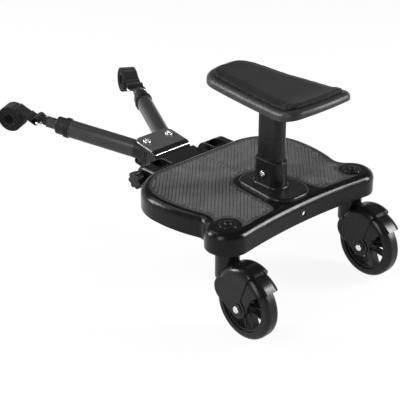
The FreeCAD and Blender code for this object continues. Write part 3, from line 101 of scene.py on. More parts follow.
@dataclass
class NodeGraph:
    """Adds and joins the nodes of one shader or geometry tree."""

    tree: bpy.types.NodeTree

    @classmethod
    def fresh(cls, owner: bpy.types.Material | bpy.types.World) -> "NodeGraph":
        """Empties the shader tree of a material or a world.

        Args:
            owner: The material or world.

        Returns:
            Graph of its empty tree.
        """
        owner.use_nodes = True
        owner.node_tree.nodes.clear()
        return cls(owner.node_tree)

    def add(self, kind: str, inputs: dict | None = None, **settings: object) -> bpy.types.Node:
        """Adds a node.

        Args:
            kind: Blender's type of the node.
            inputs: Values, or sockets to join, by the input's name or number.
            settings: The node's own options.

        Returns:
            The new node.
        """
        node = self.tree.nodes.new(kind)
        for name, value in settings.items():
            setattr(node, name, value)
        for key, value in (inputs or {}).items():
            if isinstance(value, Socket):
                self.tree.links.new(value, node.inputs[key])
            else:
                node.inputs[key].default_value = value
        return node

    def maths(self, operation: str, *values: object) -> Socket:
        """Adds a math node.

        Args:
            operation: The node's operation.
            values: Numbers or sockets, in the order of its inputs.

        Returns:
            The result's socket.
        """
        return self.add("ShaderNodeMath", dict(enumerate(values)), operation=operation).outputs[0]


@dataclass(frozen=True)
class Finish:
    """Surface of a moulded piece: fine grain, uneven gloss and faint scuffs."""

    name: str
    colour: Colour
    roughness: float
    gloss_spread: float = 0.05
    grain_scale: float = 1500.0
    grain_depth: float = 0.12
    scuff: float = 1.25
    shade: float = 0.86
    stops: Point = (0.35, 0.72)
    wear_scale: float = 38.0
    gloss_scale: float = 90.0
    bump_height: float = 0.3 * MM
    metallic: float = 0.0
    specular: float = 0.2
    sheen: float = 0.0
    sheen_roughness: float = 0.45

    def material(self) -> bpy.types.Material:
        """Blender material of this finish, made once.

        Returns:
            The material.
        """
        found = bpy.data.materials.get(self.name)
        if found:
            return found
        material = bpy.data.materials.new(self.name)
        graph = NodeGraph.fresh(material)
        shader = graph.add("ShaderNodeBsdfPrincipled", {
            "Metallic": self.metallic, "Specular IOR Level": self.specular,
            "Sheen Weight": self.sheen, "Sheen Roughness": self.sheen_roughness})
        graph.add("ShaderNodeOutputMaterial", {"Surface": shader.outputs[0]})
        colour, rough, normal = self.paint(graph)
        for name, socket in (("Base Color", colour), ("Roughness", rough), ("Normal", normal)):
            graph.tree.links.new(socket, shader.inputs[name])
        return material

    def place(self, graph: NodeGraph, scale: Triple = (1.0, 1.0, 1.0)) -> Socket:
        """Object coordinates, stretched.

        Args:
            graph: Tree of the material.
            scale: Stretch along each axis.

        Returns:
            The coordinates' socket.
        """
        where = graph.add("ShaderNodeTexCoord").outputs["Object"]
        return graph.add("ShaderNodeMapping", {"Vector": where, "Scale": scale}).outputs[0]

    def cloud(self, graph: NodeGraph, scale: float, detail: float,
              stretch: Triple = (1.0, 1.0, 1.0)) -> Socket:
        """Noise over the piece.

        Args:
            graph: Tree of the material.
            scale: Waves to a metre.
            detail: Octaves.
            stretch: Stretch along each axis.

        Returns:
            The noise's socket.
        """
        inputs = {"Vector": self.place(graph, stretch), "Scale": scale, "Detail": detail}
        return graph.add("ShaderNodeTexNoise", inputs).outputs[0]

    def surface(self, graph: NodeGraph, wear: Socket, gloss: Socket, height: Socket) -> Surface:
        """Turns three patterns from 0 to 1 into the surface.

        Args:
            graph: Tree of the material.
            wear: Pattern of the colour, from shaded to scuffed.
            gloss: Pattern of the roughness.
            height: Pattern of the bumps.

        Returns:
            Sockets of colour, roughness and normal.
        """
        ramp = graph.add("ShaderNodeValToRGB", {"Fac": wear})
        shares = (self.shade, self.scuff)
        for element, stop, share in zip(ramp.color_ramp.elements, self.stops, shares):
            element.position = stop
            element.color = (*(channel * share for channel in self.colour), 1.0)
        low, high = NOISE_MIDDLE
        rough = graph.add("ShaderNodeMapRange", {
            "Value": gloss, "From Min": low, "From Max": high,
            "To Min": self.roughness - self.gloss_spread, "To Max": self.roughness + self.gloss_spread})
        normal = graph.add("ShaderNodeBump", {
            "Strength": self.grain_depth, "Distance": self.bump_height, "Height": height})
        return ramp.outputs["Color"], rough.outputs[0], normal.outputs[0]

    def paint(self, graph: NodeGraph) -> Surface:
        """Makes the pattern of the surface.

        Args:
            graph: Tree of the material.

        Returns:
            Sockets of colour, roughness and normal.
        """
        wear = self.cloud(graph, self.wear_scale, detail=6.0)
        gloss = self.cloud(graph, self.gloss_scale, detail=3.0)
        grain = self.cloud(graph, self.grain_scale, detail=2.0)
        return self.surface(graph, wear, gloss, grain)


@dataclass(frozen=True)
class BrushedMetal(Finish):
    """Metal with fine drawn lines along one axis."""

    metallic: float = 1.0
    scuff: float = 1.0
    shade: float = 0.9
    stops: Point = (0.3, 0.7)
    wear_scale: float = 60.0
    gloss_scale: float = 45.0
    bump_height: float = 0.1 * MM
    lines: Triple = (1.0, 30.0, 30.0)

    def paint(self, graph: NodeGraph) -> Surface:
        """Makes the drawn lines.

        Args:
            graph: Tree of the material.

        Returns:
            Sockets of colour, roughness and normal.
        """
        drawn = self.cloud(graph, self.wear_scale, detail=5.0, stretch=self.lines)
        tarnish = self.cloud(graph, self.gloss_scale, detail=5.0)
        return self.surface(graph, drawn, tarnish, drawn)


@dataclass(frozen=True)
class FoamSkin(Finish):
    """Closed foam with a pebbled skin."""

    shade: float = 0.8
    stops: Point = (0.2, 0.6)
    wear_scale: float = 30.0
    bump_height: float = 0.5 * MM
    pebbles: float = 650.0
    pebble_shade: float = -0.25

    def paint(self, graph: NodeGraph) -> Surface:
        """Makes the pebbles.

        Args:
            graph: Tree of the material.

        Returns:
            Sockets of colour, roughness and normal.
        """
        where = {"Vector": self.place(graph), "Scale": self.pebbles}
        cells = graph.add("ShaderNodeTexVoronoi", where, feature="SMOOTH_F1").outputs["Distance"]
        wear = self.cloud(graph, self.wear_scale, detail=6.0)
        pitted = graph.maths("MULTIPLY_ADD", cells, self.pebble_shade, wear)
        return self.surface(graph, pitted, wear, cells)


@dataclass(frozen=True)
class StrapWeave(Finish):
    """Hook-and-loop webbing: ribs and yarns under a fuzz of loops, laid out by the piece's UV map."""

    shade: float = 0.7
    stops: Point = (0.25, 0.8)
    wear_scale: float = 70.0
    bump_height: float = 0.4 * MM
    rib_scale: float = 190.0
    yarn_scale: float = 260.0
    wobble: float = 0.6
    fuzz_scale: float = 2600.0
    weave_share: float = 0.25
    wear_share: float = 0.6

    def paint(self, graph: NodeGraph) -> Surface:
        """Makes ribs, yarns and fuzz.

        Args:
            graph: Tree of the material.

        Returns:
            Sockets of colour, roughness and normal.
        """
        flat = graph.add("ShaderNodeUVMap", uv_map="flat").outputs[0]
        ribs, yarns = [
            graph.add("ShaderNodeTexWave", {"Vector": flat, "Scale": scale, "Distortion": self.wobble},
                      bands_direction=axis).outputs[1]
            for scale, axis in ((self.rib_scale, "X"), (self.yarn_scale, "Y"))]
        fuzz = self.cloud(graph, self.fuzz_scale, detail=3.0)
        weave = graph.maths("ADD", graph.maths("MULTIPLY", ribs, yarns), fuzz)
        wear = self.cloud(graph, self.wear_scale, detail=5.0)
        worn = graph.maths("MULTIPLY", wear, self.wear_share)
        mixed = graph.maths("MULTIPLY_ADD", weave, self.weave_share, worn)
        return self.surface(graph, mixed, wear, weave)


DECK_PLASTIC = Finish("deck_satin_black", (0.0045, 0.0045, 0.005), 0.21, grain_depth=0.03, specular=0.16)
# Painted highlight: light grey for the rims of the hinge knuckles' walls.
RIM_PAINTED_HIGHLIGHT = Finish("deck_rim_painted_highlight", (0.055, 0.055, 0.056), 0.42)
# The mat between the studs is a darker rubber: painted shade in the grooves. The studs are lighter: partly
# worn tops, partly painted light.
MAT_RUBBER_GROOVE_SHADE = Finish("mat_rubber_painted_groove_shade", (0.040, 0.040, 0.0405), 0.6, grain_scale=1100.0, grain_depth=0.2)
STUD_RUBBER_WORN_AND_LIT = Finish("mat_rubber_worn_and_painted_light", (0.088, 0.088, 0.089), 0.55, grain_scale=1100.0, grain_depth=0.2)
SEAT_PLASTIC = Finish("seat_satin_black", (0.024, 0.024, 0.0245), 0.38, grain_depth=0.06)
POST_PLASTIC = Finish("post_satin_black", (0.0065, 0.0065, 0.007), 0.30, grain_depth=0.05)
FORK_PLASTIC = Finish("fork_gloss_black", (0.008, 0.008, 0.0085), 0.21, grain_depth=0.02)
ARM_PLASTIC = Finish("arm_matt_black", (0.010, 0.010, 0.0105), 0.40, grain_depth=0.2)
WHEEL_PLASTIC = Finish("wheel_satin_black", (0.009, 0.009, 0.0095), 0.32)
BUSH_PLASTIC = Finish("bush_grey_nylon", (0.14, 0.14, 0.135), 0.45)
TYRE_RUBBER = Finish("tyre_black_rubber", (0.008, 0.008, 0.008), 0.34, grain_scale=800.0, grain_depth=0.05)
TUBE_METAL = BrushedMetal("tube_dark_coated", (0.042, 0.042, 0.044), 0.24, metallic=0.3, grain_depth=0.02)
COVER_METAL = BrushedMetal("cover_dark_plate", (0.085, 0.085, 0.087), 0.42, metallic=0.4, grain_depth=0.08,
                           lines=(1.0, 24.0, 1.0))
CUT_STEEL = BrushedMetal("cover_cut_edge", (0.20, 0.20, 0.20), 0.26, grain_depth=0.03)
ROLLED_STEEL = BrushedMetal("cover_rolled_nose", (0.42, 0.42, 0.42), 0.34, grain_depth=0.03)
# Painted shade: near-black finish for the rear-facing faces of the cover's bent lip.
LIP_PAINTED_SHADE = Finish("cover_lip_painted_shade", (0.006, 0.006, 0.0063), 0.45)
STEEL = BrushedMetal("zinc_steel", (0.80, 0.80, 0.79), 0.24, grain_depth=0.05)
DARK_STEEL = BrushedMetal("bolt_black_steel", (0.030, 0.030, 0.031), 0.28, metallic=0.7, grain_depth=0.05)
BRASS = BrushedMetal("insert_brass", (0.72, 0.52, 0.24), 0.28)
PAD_FOAM = FoamSkin("pad_black_foam", (0.011, 0.011, 0.0115), 0.66, grain_depth=0.3, specular=0.12,
                    sheen=0.03)
STRAP_WEBBING = StrapWeave("strap_black_loop", (0.009, 0.009, 0.0095), 0.85, grain_depth=0.6,
                           specular=0.1, sheen=0.12)
STRAP_THREAD = Finish("strap_thread", (0.030, 0.030, 0.031), 0.7, grain_scale=3000.0, sheen=0.2)

FINISHED_NODES = {
    DECK_PLASTIC: ("deck_shell",),
    MAT_RUBBER_GROOVE_SHADE: ("grip_mat",),
    POST_PLASTIC: ("seat_foot", "seat_post"),
    SEAT_PLASTIC: ("seat_shell",),
    PAD_FOAM: ("seat_pad",),
    ARM_PLASTIC: ("hinge_knob", "head_housing", "arm_socket", "arm_collar", "end_plug"),
    COVER_METAL: ("head_cover",),
    BRASS: ("knob_insert",),
    STEEL: ("seat_plate", "seat_screws", "seat_foot_screws", "collar_screw", "collar_nut", "hinge_rod",
            "pivot_screws", "pivot_nuts", "swivel_nut", "axle", "wheel_bearings", "strap_ring"),
    DARK_STEEL: ("swivel_bolt",),
    BUSH_PLASTIC: ("swivel_washer", "swivel_bush", "guide_shoe"),
    FORK_PLASTIC: ("cup_washer", "fork"),
    WHEEL_PLASTIC: ("wheel_core",),
    TYRE_RUBBER: ("tyre",),
    TUBE_METAL: ("outer_tube", "inner_tube"),
    STRAP_WEBBING: ("strap",),
}


def new_object(name: str, mesh: Mesh) -> Piece:
    """Object in the scene at the origin.

    Args:
        name: Name of the piece.
        mesh: Its mesh, already in place.

    Returns:
        The object.
    """
    made = bpy.data.objects.new(name, mesh)
    bpy.context.scene.collection.objects.link(made)
    return made


def bake(piece: Piece) -> None:
    """Turns a piece's modifiers into its plain mesh.

    Args:
        piece: The piece.
    """
    graph = bpy.context.evaluated_depsgraph_get()
    piece.data = bpy.data.meshes.new_from_object(piece.evaluated_get(graph))
    piece.modifiers.clear()


def on_circle(centre: Point, radius: float, turn: float) -> Point:
    """Point on a circle, at a turn in radians."""
    return centre[0] + radius * math.cos(turn), centre[1] + radius * math.sin(turn)


def line_mesh(name: str, lines: list[list[Vector]], closed: bool = False) -> Mesh:
    """Mesh of bare edges along lines.

    Args:
        name: Name of the mesh.
        lines: Points of each line.
        closed: Whether each line returns to its start.

    Returns:
        The mesh.
    """
    points, edges = [], []
    for line in lines:
        first = len(points)
        points.extend(line)
        edges.extend((first + step, first + step + 1) for step in range(len(line) - 1))
        if closed:
            edges.append((len(points) - 1, first))
    mesh = bpy.data.meshes.new(name)
    mesh.from_pydata([tuple(point) for point in points], edges, [])
    return mesh


def merged_copy(node: str) -> bmesh.types.BMesh:
    """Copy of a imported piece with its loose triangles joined.

    Args:
        node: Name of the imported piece.

    Returns:
        The copy, which the caller frees.
    """
    shape = bmesh.new()
    shape.from_mesh(frame["nodes"][node].data)
    bmesh.ops.remove_doubles(shape, verts=shape.verts, dist=WELD)
    shape.normal_update()
    return shape


class PatternTree:
    """Geometry Nodes tree with named inputs, used once and turned into a plain mesh."""

    def __init__(self, name: str, sizes: tuple[str, ...], objects: tuple[str, ...] = ()) -> None:
        """Starts a tree.

        Args:
            name: Name of the tree.
            sizes: Names of the inputs that are sizes.
            objects: Names of the inputs that are objects.
        """
        self.tree = bpy.data.node_groups.new(name, "GeometryNodeTree")
        self.tree.interface.new_socket("Geometry", in_out="INPUT", socket_type="NodeSocketGeometry")
        self.tree.interface.new_socket("Geometry", in_out="OUTPUT", socket_type="NodeSocketGeometry")
        kinds = {"NodeSocketObject": objects, "NodeSocketFloat": sizes, "NodeSocketMaterial": ("Finish",)}
        for kind, labels in kinds.items():
            for label in labels:
                self.tree.interface.new_socket(label, in_out="INPUT", socket_type=kind)
        self.graph = NodeGraph(self.tree)
        self.inputs = self.graph.add("NodeGroupInput").outputs

    def close(self, geometry: Socket, smooth: bool = True) -> None:
        """Ends the tree in plain, dressed geometry.

        Args:
            geometry: What the tree has made.
            smooth: Whether it is shaded smooth.
        """
        plain = self.graph.add("GeometryNodeRealizeInstances", {"Geometry": geometry}).outputs[0]
        shaded = self.graph.add("GeometryNodeSetShadeSmooth", {
            "Geometry": plain, "Shade Smooth": smooth}).outputs[0]
        dressed = self.graph.add("GeometryNodeSetMaterial", {
            "Geometry": shaded, "Material": self.inputs["Finish"]}).outputs[0]
        self.graph.add("NodeGroupOutput", {"Geometry": dressed})

    def make(self, name: str, base: Mesh, values: dict[str, object]) -> Piece:
        """Runs the tree on a mesh.

        Args:
            name: Name of the piece.
            base: Mesh that the tree starts from.
            values: Value of each named input.

        Returns:
            The piece as a plain mesh, with no modifier.
        """
        made = new_object(name, base)
        modifier = made.modifiers.new(self.tree.name, "NODES")
        modifier.node_group = self.tree
        for item in self.tree.interface.items_tree:
            if item.in_out == "INPUT" and item.name in values:
                modifier[item.identifier] = values[item.name]
        bake(made)
        made.data.name = name
        return made


def beads(name: str, mesh: Mesh, radius: float, finish: Finish) -> Piece:
    """Sweeps a round bead along bare edges.

    Args:
        name: Name of the piece.
        mesh: Mesh of the edges.
        radius: Radius of the bead.
        finish: Finish of the bead.

    Returns:
        The piece.
    """
    pattern = PatternTree("bead_along_lines", ("Bead Radius",))
    graph = pattern.graph
    curve = graph.add("GeometryNodeMeshToCurve", {"Mesh": pattern.inputs["Geometry"]}).outputs[0]
    profile = graph.add("GeometryNodeCurvePrimitiveCircle", {
        "Resolution": BEAD_CORNERS, "Radius": pattern.inputs["Bead Radius"]}).outputs[0]
    swept = graph.add("GeometryNodeCurveToMesh", {
        "Curve": curve, "Profile Curve": profile, "Fill Caps": True})
    pattern.close(swept.outputs[0])
    return pattern.make(name, mesh, {"Bead Radius": radius, "Finish": finish.material()})


def stitch_tree() -> PatternTree:
    """Tree that sews stitches along bare edges.

    Returns:
        The tree, with the inputs Stitch Pitch, Stitch Length and Thread Radius.
    """
    pattern = PatternTree("stitches_along_lines", ("Stitch Pitch", "Stitch Length", "Thread Radius"))
    graph = pattern.graph
    curve = graph.add("GeometryNodeMeshToCurve", {"Mesh": pattern.inputs["Geometry"]}).outputs[0]
    spaced = graph.add("GeometryNodeResampleCurve", {
        "Curve": curve, "Length": pattern.inputs["Stitch Pitch"]}, mode="LENGTH").outputs[0]
    tangent = graph.add("GeometryNodeInputTangent").outputs[0]
    turn = graph.add("FunctionNodeAlignEulerToVector", {"Vector": tangent}, axis="Z").outputs[0]
    thread = graph.add("GeometryNodeMeshUVSphere", {
        "Segments": THREAD_CORNERS, "Rings": THREAD_RINGS, "Radius": 1.0}).outputs[0]
    half = graph.maths("MULTIPLY", pattern.inputs["Stitch Length"], 0.5)
    size = graph.add("ShaderNodeCombineXYZ", {
        "X": pattern.inputs["Thread Radius"], "Y": pattern.inputs["Thread Radius"], "Z": half}).outputs[0]
    sewn = graph.add("GeometryNodeInstanceOnPoints", {
        "Points": spaced, "Instance": thread, "Rotation": turn, "Scale": size}).outputs[0]
    pattern.close(sewn)
    return pattern


def stud_tree() -> PatternTree:
    """Tree that keeps the points of a lattice that lie well inside a mat, with a stud on each.

    Returns:
        The tree, with the inputs Mat, Border, Stud Base, Stud Top and Stud Height.
    """
    pattern = PatternTree("studs_on_mat", ("Border", "Stud Base", "Stud Top", "Stud Height"), ("Mat",))
    graph = pattern.graph
    mat = graph.add("GeometryNodeObjectInfo", {"Object": pattern.inputs["Mat"]}).outputs["Geometry"]
    normal = graph.add("GeometryNodeInputNormal").outputs[0]
    lean = graph.add("ShaderNodeSeparateXYZ", {0: normal}).outputs["Z"]
    upright = graph.add("FunctionNodeCompare", {"A": graph.maths("ABSOLUTE", lean), "B": UPRIGHT},
                        operation="LESS_THAN").outputs[0]
    walls = graph.add("GeometryNodeSeparateGeometry", {"Geometry": mat, "Selection": upright},
                      domain="FACE").outputs[0]
    distance = graph.add("GeometryNodeProximity", {0: walls}).outputs["Distance"]
    inside = graph.add("GeometryNodeRaycast", {
        "Target Geometry": mat, "Ray Direction": (0.0, 0.0, -1.0),
        "Ray Length": LATTICE_RAY}).outputs["Is Hit"]
    clear = graph.add("FunctionNodeCompare", {"A": distance, "B": pattern.inputs["Border"]},
                      operation="GREATER_THAN").outputs[0]
    outside = graph.add("FunctionNodeBooleanMath", {0: inside, 1: clear}, operation="NAND").outputs[0]
    points = graph.add("GeometryNodeDeleteGeometry", {
        "Geometry": pattern.inputs["Geometry"], "Selection": outside}).outputs[0]
    lowered = graph.add("GeometryNodeSetPosition", {
        "Geometry": points, "Offset": (0.0, 0.0, -LATTICE_LIFT)}).outputs[0]
    stud = graph.add("GeometryNodeMeshCone", {
        "Vertices": 4, "Radius Top": pattern.inputs["Stud Top"], "Radius Bottom": pattern.inputs["Stud Base"],
        "Depth": pattern.inputs["Stud Height"]}).outputs[0]
    placed = graph.add("GeometryNodeInstanceOnPoints", {"Points": lowered, "Instance": stud})
    pattern.close(placed.outputs[0], smooth=False)
    return pattern


def settle(piece: Piece, body: str, slot: Slot, *nodes: str) -> Piece:
    """Makes a piece ride on a body, and logs it.

    Args:
        piece: The finished piece.
        body: Body it moves with.
        slot: Slot of the record; not used.
        nodes: Nodes it stands for.

    Returns:
        The piece.
    """
    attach(piece, body)
    if nodes:
        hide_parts(*nodes)
    LOG.info("%s: %d faces", piece.name, len(piece.data.polygons))
    return piece


def joint(name: str) -> dict:
    """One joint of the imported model.

    Args:
        name: Name of the joint.

    Returns:
        Its entry in the record.
    """
    return next(entry for entry in frame["joints"] if entry["name"] == name)


def swivel_y() -> float:
    """Place of the castor swivels along the board."""
    return joint("left_castor_swivel")["pos_m"][1]


def dress_frame() -> None:
    """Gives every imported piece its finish."""
    finishes = {name: finish for finish, names in FINISHED_NODES.items() for name in names}
    for name, node in frame["nodes"].items():
        plain = name.removeprefix("left_").removeprefix("right_")
        node.data.materials.clear()
        node.data.materials.append(finishes[plain].material())
    LOG.info("dressed %d packed pieces", len(frame["nodes"]))


@dataclass
class GripMat:
    """Studs, seams and lip on the mat of the deck."""

    pitch: float = 6.1 * MM
    border: float = 6.5 * MM
    stud_base: float = 3.7 * MM
    stud_top: float = 2.4 * MM
    stud_height: float = 1.0 * MM
    seam_radius: float = 0.7 * MM
    seam_room: float = 1.2 * MM
    seam_ahead: float = 93.0 * MM
    lip_radius: float = 0.55 * MM
    lip_weld: float = 0.05 * MM
    top_lean: float = 0.9

    def seam_y(self) -> float:
        """Place of the cross seam along the board, set ahead of the castor swivels."""
        return swivel_y() + self.seam_ahead

    def studs(self) -> Piece:
        """Low square studs on a lattice that is turned by 45 degrees.

        Returns:
            The piece.
        """
        lowest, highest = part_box("grip_mat")
        step = self.pitch / math.sqrt(2)
        count = round(2 * (highest.y - lowest.y) / step)
        points = []
        for first in range(-count, count):
            for second in range(-count, count):
                x = (first - second) * step
                y = highest.y - (first + second) * step
                near_seam = abs(y - self.seam_y()) < self.seam_room or abs(x) < self.seam_room
                if lowest.x < x < highest.x and lowest.y < y < highest.y and not near_seam:
                    points.append((x, y, highest.z + LATTICE_LIFT))
        lattice = bpy.data.meshes.new("stud_lattice")
        lattice.from_pydata(points, [], [])
        # Studs in the lighter rubber over the darker mat: partly worn tops, partly painted light against
        # painted shade in the grooves.
        return stud_tree().make("mat_studs", lattice, {
            "Mat": frame["nodes"]["grip_mat"], "Border": self.border, "Stud Base": self.stud_base,
            "Stud Top": self.stud_top, "Stud Height": self.stud_height, "Finish": STUD_RUBBER_WORN_AND_LIT.material()})

    def rim(self) -> list[list[Vector]]:
        """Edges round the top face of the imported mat.

        Returns:
            Ends of each edge.
        """
        shape = merged_copy("grip_mat")
        found = []
        for edge in shape.edges:
            tops = [face.normal.z > self.top_lean for face in edge.link_faces]
            if len(tops) == 2 and tops[0] != tops[1]:
                found.append([vertex.co.copy() for vertex in edge.verts])
        shape.free()
        return found

    def lip(self) -> Piece:
        """Thin raised lip round the mat.

        Returns:
            The piece.
        """
        mesh = line_mesh("mat_lip", self.rim())
        shape = bmesh.new()
        shape.from_mesh(mesh)
        bmesh.ops.remove_doubles(shape, verts=shape.verts, dist=self.lip_weld)
        shape.to_mesh(mesh)
        shape.free()
        return beads("mat_lip", mesh, self.lip_radius, MAT_RUBBER_GROOVE_SHADE)

    def seams(self) -> Piece:
        """Mould seams: across the mat on both sides of the seat foot, and along it in front of the foot.

        Returns:
            The piece.
        """
        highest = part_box("grip_mat")[1]
        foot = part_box("seat_foot")[1]
        cross = self.seam_y()
        outer = highest.x - self.border
        front = highest.y - self.border
        runs = [((side * foot.x, cross), (side * outer, cross)) for side in (-1, 1)]
        runs.append(((0, foot.y + self.border * 2), (0, front)))
        lines = [[Vector((*end, highest.z)) for end in run] for run in runs]
        return beads("mat_seams", line_mesh("mat_seams", lines), self.seam_radius, STUD_RUBBER_WORN_AND_LIT)

    def build(self) -> None:
        """Builds studs, seams and lip."""
        for piece in (self.studs(), self.lip(), self.seams()):
            settle(piece, "board", Slot.MAT)


@dataclass
class SaddlePad:
    """Thin foam pad on the saddle, swelled by a cloth simulation."""

    voxel: float = 2.4 * MM
    start_inset: float = 1.4 * MM
    held_height: float = 1.6 * MM
    swell: float = 2.2 * MM
    pressure: float = 4.0
    frames: int = 20
    fill: float = 0.8

    def blank(self) -> Piece:
        """Pad before it swells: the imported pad, remeshed evenly and drawn in.

        Returns:
            The piece.
        """
        mesh = bpy.data.meshes.new("saddle_cushion")
        shape = merged_copy("seat_pad")
        shape.to_mesh(mesh)
        shape.free()
        pad = new_object("saddle_cushion", mesh)
        remesh = pad.modifiers.new("even", "REMESH")
        remesh.mode = "VOXEL"
        remesh.voxel_size = self.voxel
        bake(pad)
        shell = frame["nodes"]["seat_shell"]
        heights = [(vertex.co - shell.closest_point_on_mesh(vertex.co)[1]).length
                   for vertex in pad.data.vertices]
        for vertex, height in zip(pad.data.vertices, heights):
            if height > self.held_height:
                vertex.co -= vertex.normal * self.start_inset
        low = [index for index, height in enumerate(heights) if height <= self.held_height]
        pad.vertex_groups.new(name="held").add(low, 1.0, "REPLACE")
        return pad

    def swelled(self, pad: Piece) -> None:
        """Blows the pad up against its held underside, and limits how far it moves.

        Args:
            pad: The drawn-in pad.
        """
        before = [vertex.co.copy() for vertex in pad.data.vertices]
        cloth = pad.modifiers.new("swell", "CLOTH")
        cloth.settings.use_pressure = True
        cloth.settings.uniform_pressure_force = self.pressure
        cloth.settings.vertex_group_mass = "held"
        cloth.settings.effector_weights.gravity = 0.0
        for step in range(1, self.frames + 1):
            bpy.context.scene.frame_set(step)
        bake(pad)
        for vertex, start in zip(pad.data.vertices, before):
            move = vertex.co - start
            if move.length > self.swell:
                vertex.co = start + move.normalized() * self.swell
        bpy.context.scene.frame_set(1)

    def build(self) -> None:
        """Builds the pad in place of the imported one."""
        pad = self.blank()
        self.swelled(pad)
        smooth = pad.modifiers.new("smooth", "SUBSURF")
        smooth.levels = smooth.render_levels = 1
        pad.data.shade_smooth()
        pad.data.materials.clear()
        pad.data.materials.append(PAD_FOAM.material())
        settle(pad, "board", Slot.PAD, "seat_pad")


@dataclass
class HeadCover:
    """Cover plate of the arm head with bare bevels at its sides and a rolled nose on its bent rear lip, whose
    rear-facing faces carry a near-black finish as painted shade.
    """

    bevel_rise: float = math.sqrt(0.5)
    bevel_lean: float = 0.12
    painted_shade_lean: float = 0.3
    nose_radius: float = 2.3 * MM
    nose_reach: float = 0.8 * MM
    nose_inset: float = 1.5 * MM

    def nose(self, shape: bmesh.types.BMesh, up: Vector, rear: Vector) -> Piece:
        """Bright rolled edge along the rear end of the bent lip.

        Args:
            shape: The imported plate.
            up: Direction out of the plate.
            rear: Direction along it, toward the deck.

        Returns:
            The piece.
        """
        end = max(vertex.co.dot(rear) for vertex in shape.verts)
        lip = [vertex.co for vertex in shape.verts if vertex.co.dot(rear) > end - self.nose_inset]
        height = min(point.dot(up) for point in lip) + self.nose_radius
        middle = rear * (end + self.nose_reach - self.nose_radius) + up * height
        reach = max(point.x for point in lip) - self.nose_inset
        line = [middle + Vector((x, 0.0, 0.0)) for x in (-reach, reach)]
        return beads("cover_nose", line_mesh("cover_nose", [line]), self.nose_radius, ROLLED_STEEL)

    def build(self) -> None:
        """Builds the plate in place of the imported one."""
        up = Vector(joint("left_arm_splay")["axis"])
        up *= math.copysign(1.0, up.z)
        rear = up.cross(Vector((1.0, 0.0, 0.0)))
        rear *= -math.copysign(1.0, rear.y)
        shape = merged_copy("head_cover")
        settle(self.nose(shape, up, rear), "arm_head", Slot.COVER)
        finishes = (COVER_METAL, CUT_STEEL, LIP_PAINTED_SHADE)
        # Faces that lean to the rear take the near-black finish: painted shade on the bent lip.
        for face in shape.faces:
            bevel = abs(face.normal.dot(up) - self.bevel_rise) < self.bevel_lean
            lip = face.normal.dot(rear) > self.painted_shade_lean
            finish = LIP_PAINTED_SHADE if lip else CUT_STEEL if bevel else COVER_METAL
            face.material_index = finishes.index(finish)
        mesh = bpy.data.meshes.new("arm_head_cover")
        shape.to_mesh(mesh)
        shape.free()
        for finish in finishes:
            mesh.materials.append(finish.material())
        settle(new_object("arm_head_cover", mesh), "arm_head", Slot.COVER, "head_cover")


@dataclass
class KnuckleRims:
    """Rounded tops of the walls that part the pockets of the deck's hinge knuckles from the arm head, in a
    light grey that is a painted highlight along the rims.
    """

    place: float = 52.0 * MM
    knuckle_radius: float = 20.0 * MM
    top_bearing: float = 90.0
    lowest_bearing: float = 15.0
    steps: int = 12
    bead_radius: float = 1.5 * MM
    sink: float = 0.9 * MM

    def build(self) -> None:
        """Builds the rims of both knuckles."""
        axis = Vector(joint("arm_head_pitch")["pos_m"])
        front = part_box("grip_mat")[1].y
        reach = self.knuckle_radius - self.sink
        rims = []
        for x in (-self.place, self.place):
            rim = [Vector((x, (front + axis.y) / 2, axis.z + reach))]
            for step in range(self.steps + 1):
                swept = (self.lowest_bearing - self.top_bearing) * step / self.steps
                turn = math.radians(self.top_bearing + swept)
                rim.append(Vector((x, *on_circle(axis.yz, reach, turn))))
            rims.append(rim)
        edges = line_mesh("knuckle_rims", rims)
        # The rims take the light grey finish: a painted highlight.
        settle(beads("knuckle_rims", edges, self.bead_radius, RIM_PAINTED_HIGHLIGHT), "board", Slot.DECK)


@dataclass
class WheelTrim:
    """Raised rings on both side walls of one tyre."""

    side: Side
    radii: tuple[float, ...] = (48.0 * MM, 52.6 * MM)
    bead_radius: float = 0.7 * MM
    sink: float = 0.25 * MM
    corners: int = 96

    def build(self) -> None:
        """Builds the rings of this side's wheel."""
        centre = Vector(joint(self.side.node("wheel_spin"))["pos_m"])
        lowest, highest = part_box(self.side.node("tyre"))
        turns = [2 * math.pi * index / self.corners for index in range(self.corners)]
        rings = []
        for x in (lowest.x + self.sink, highest.x - self.sink):
            for radius in self.radii:
                rings.append([Vector((x, *on_circle(centre.yz, radius, turn))) for turn in turns])
        name = self.side.node("tyre_rings")
        edges = line_mesh(name, rings, closed=True)
        settle(beads(name, edges, self.bead_radius, TYRE_RUBBER), self.side.node("wheel"), Slot.TYRE)


@dataclass
class ArmFrame:
    """Place and directions of one arm's ring bar at rest, read from the joints."""

    origin: Vector
    along: Vector
    across: Vector
    up: Vector

    @classmethod
    def of(cls, side: Side) -> "ArmFrame":
        """Frame of one arm.

        Args:
            side: Left or right arm.

        Returns:
            The frame.
        """
        swing = joint(side.node("strap_swing"))
        along = Vector(joint(side.node("arm_extend"))["axis"])
        across = Vector(swing["axis"])
        return cls(Vector(swing["pos_m"]), along, across, across.cross(along))

    def point(self, along: float, up: float, across: float) -> Vector:
        """Point at distances from the ring bar, along the arm, up from it and across it."""
        return self.origin + self.along * along + self.up * up + self.across * across


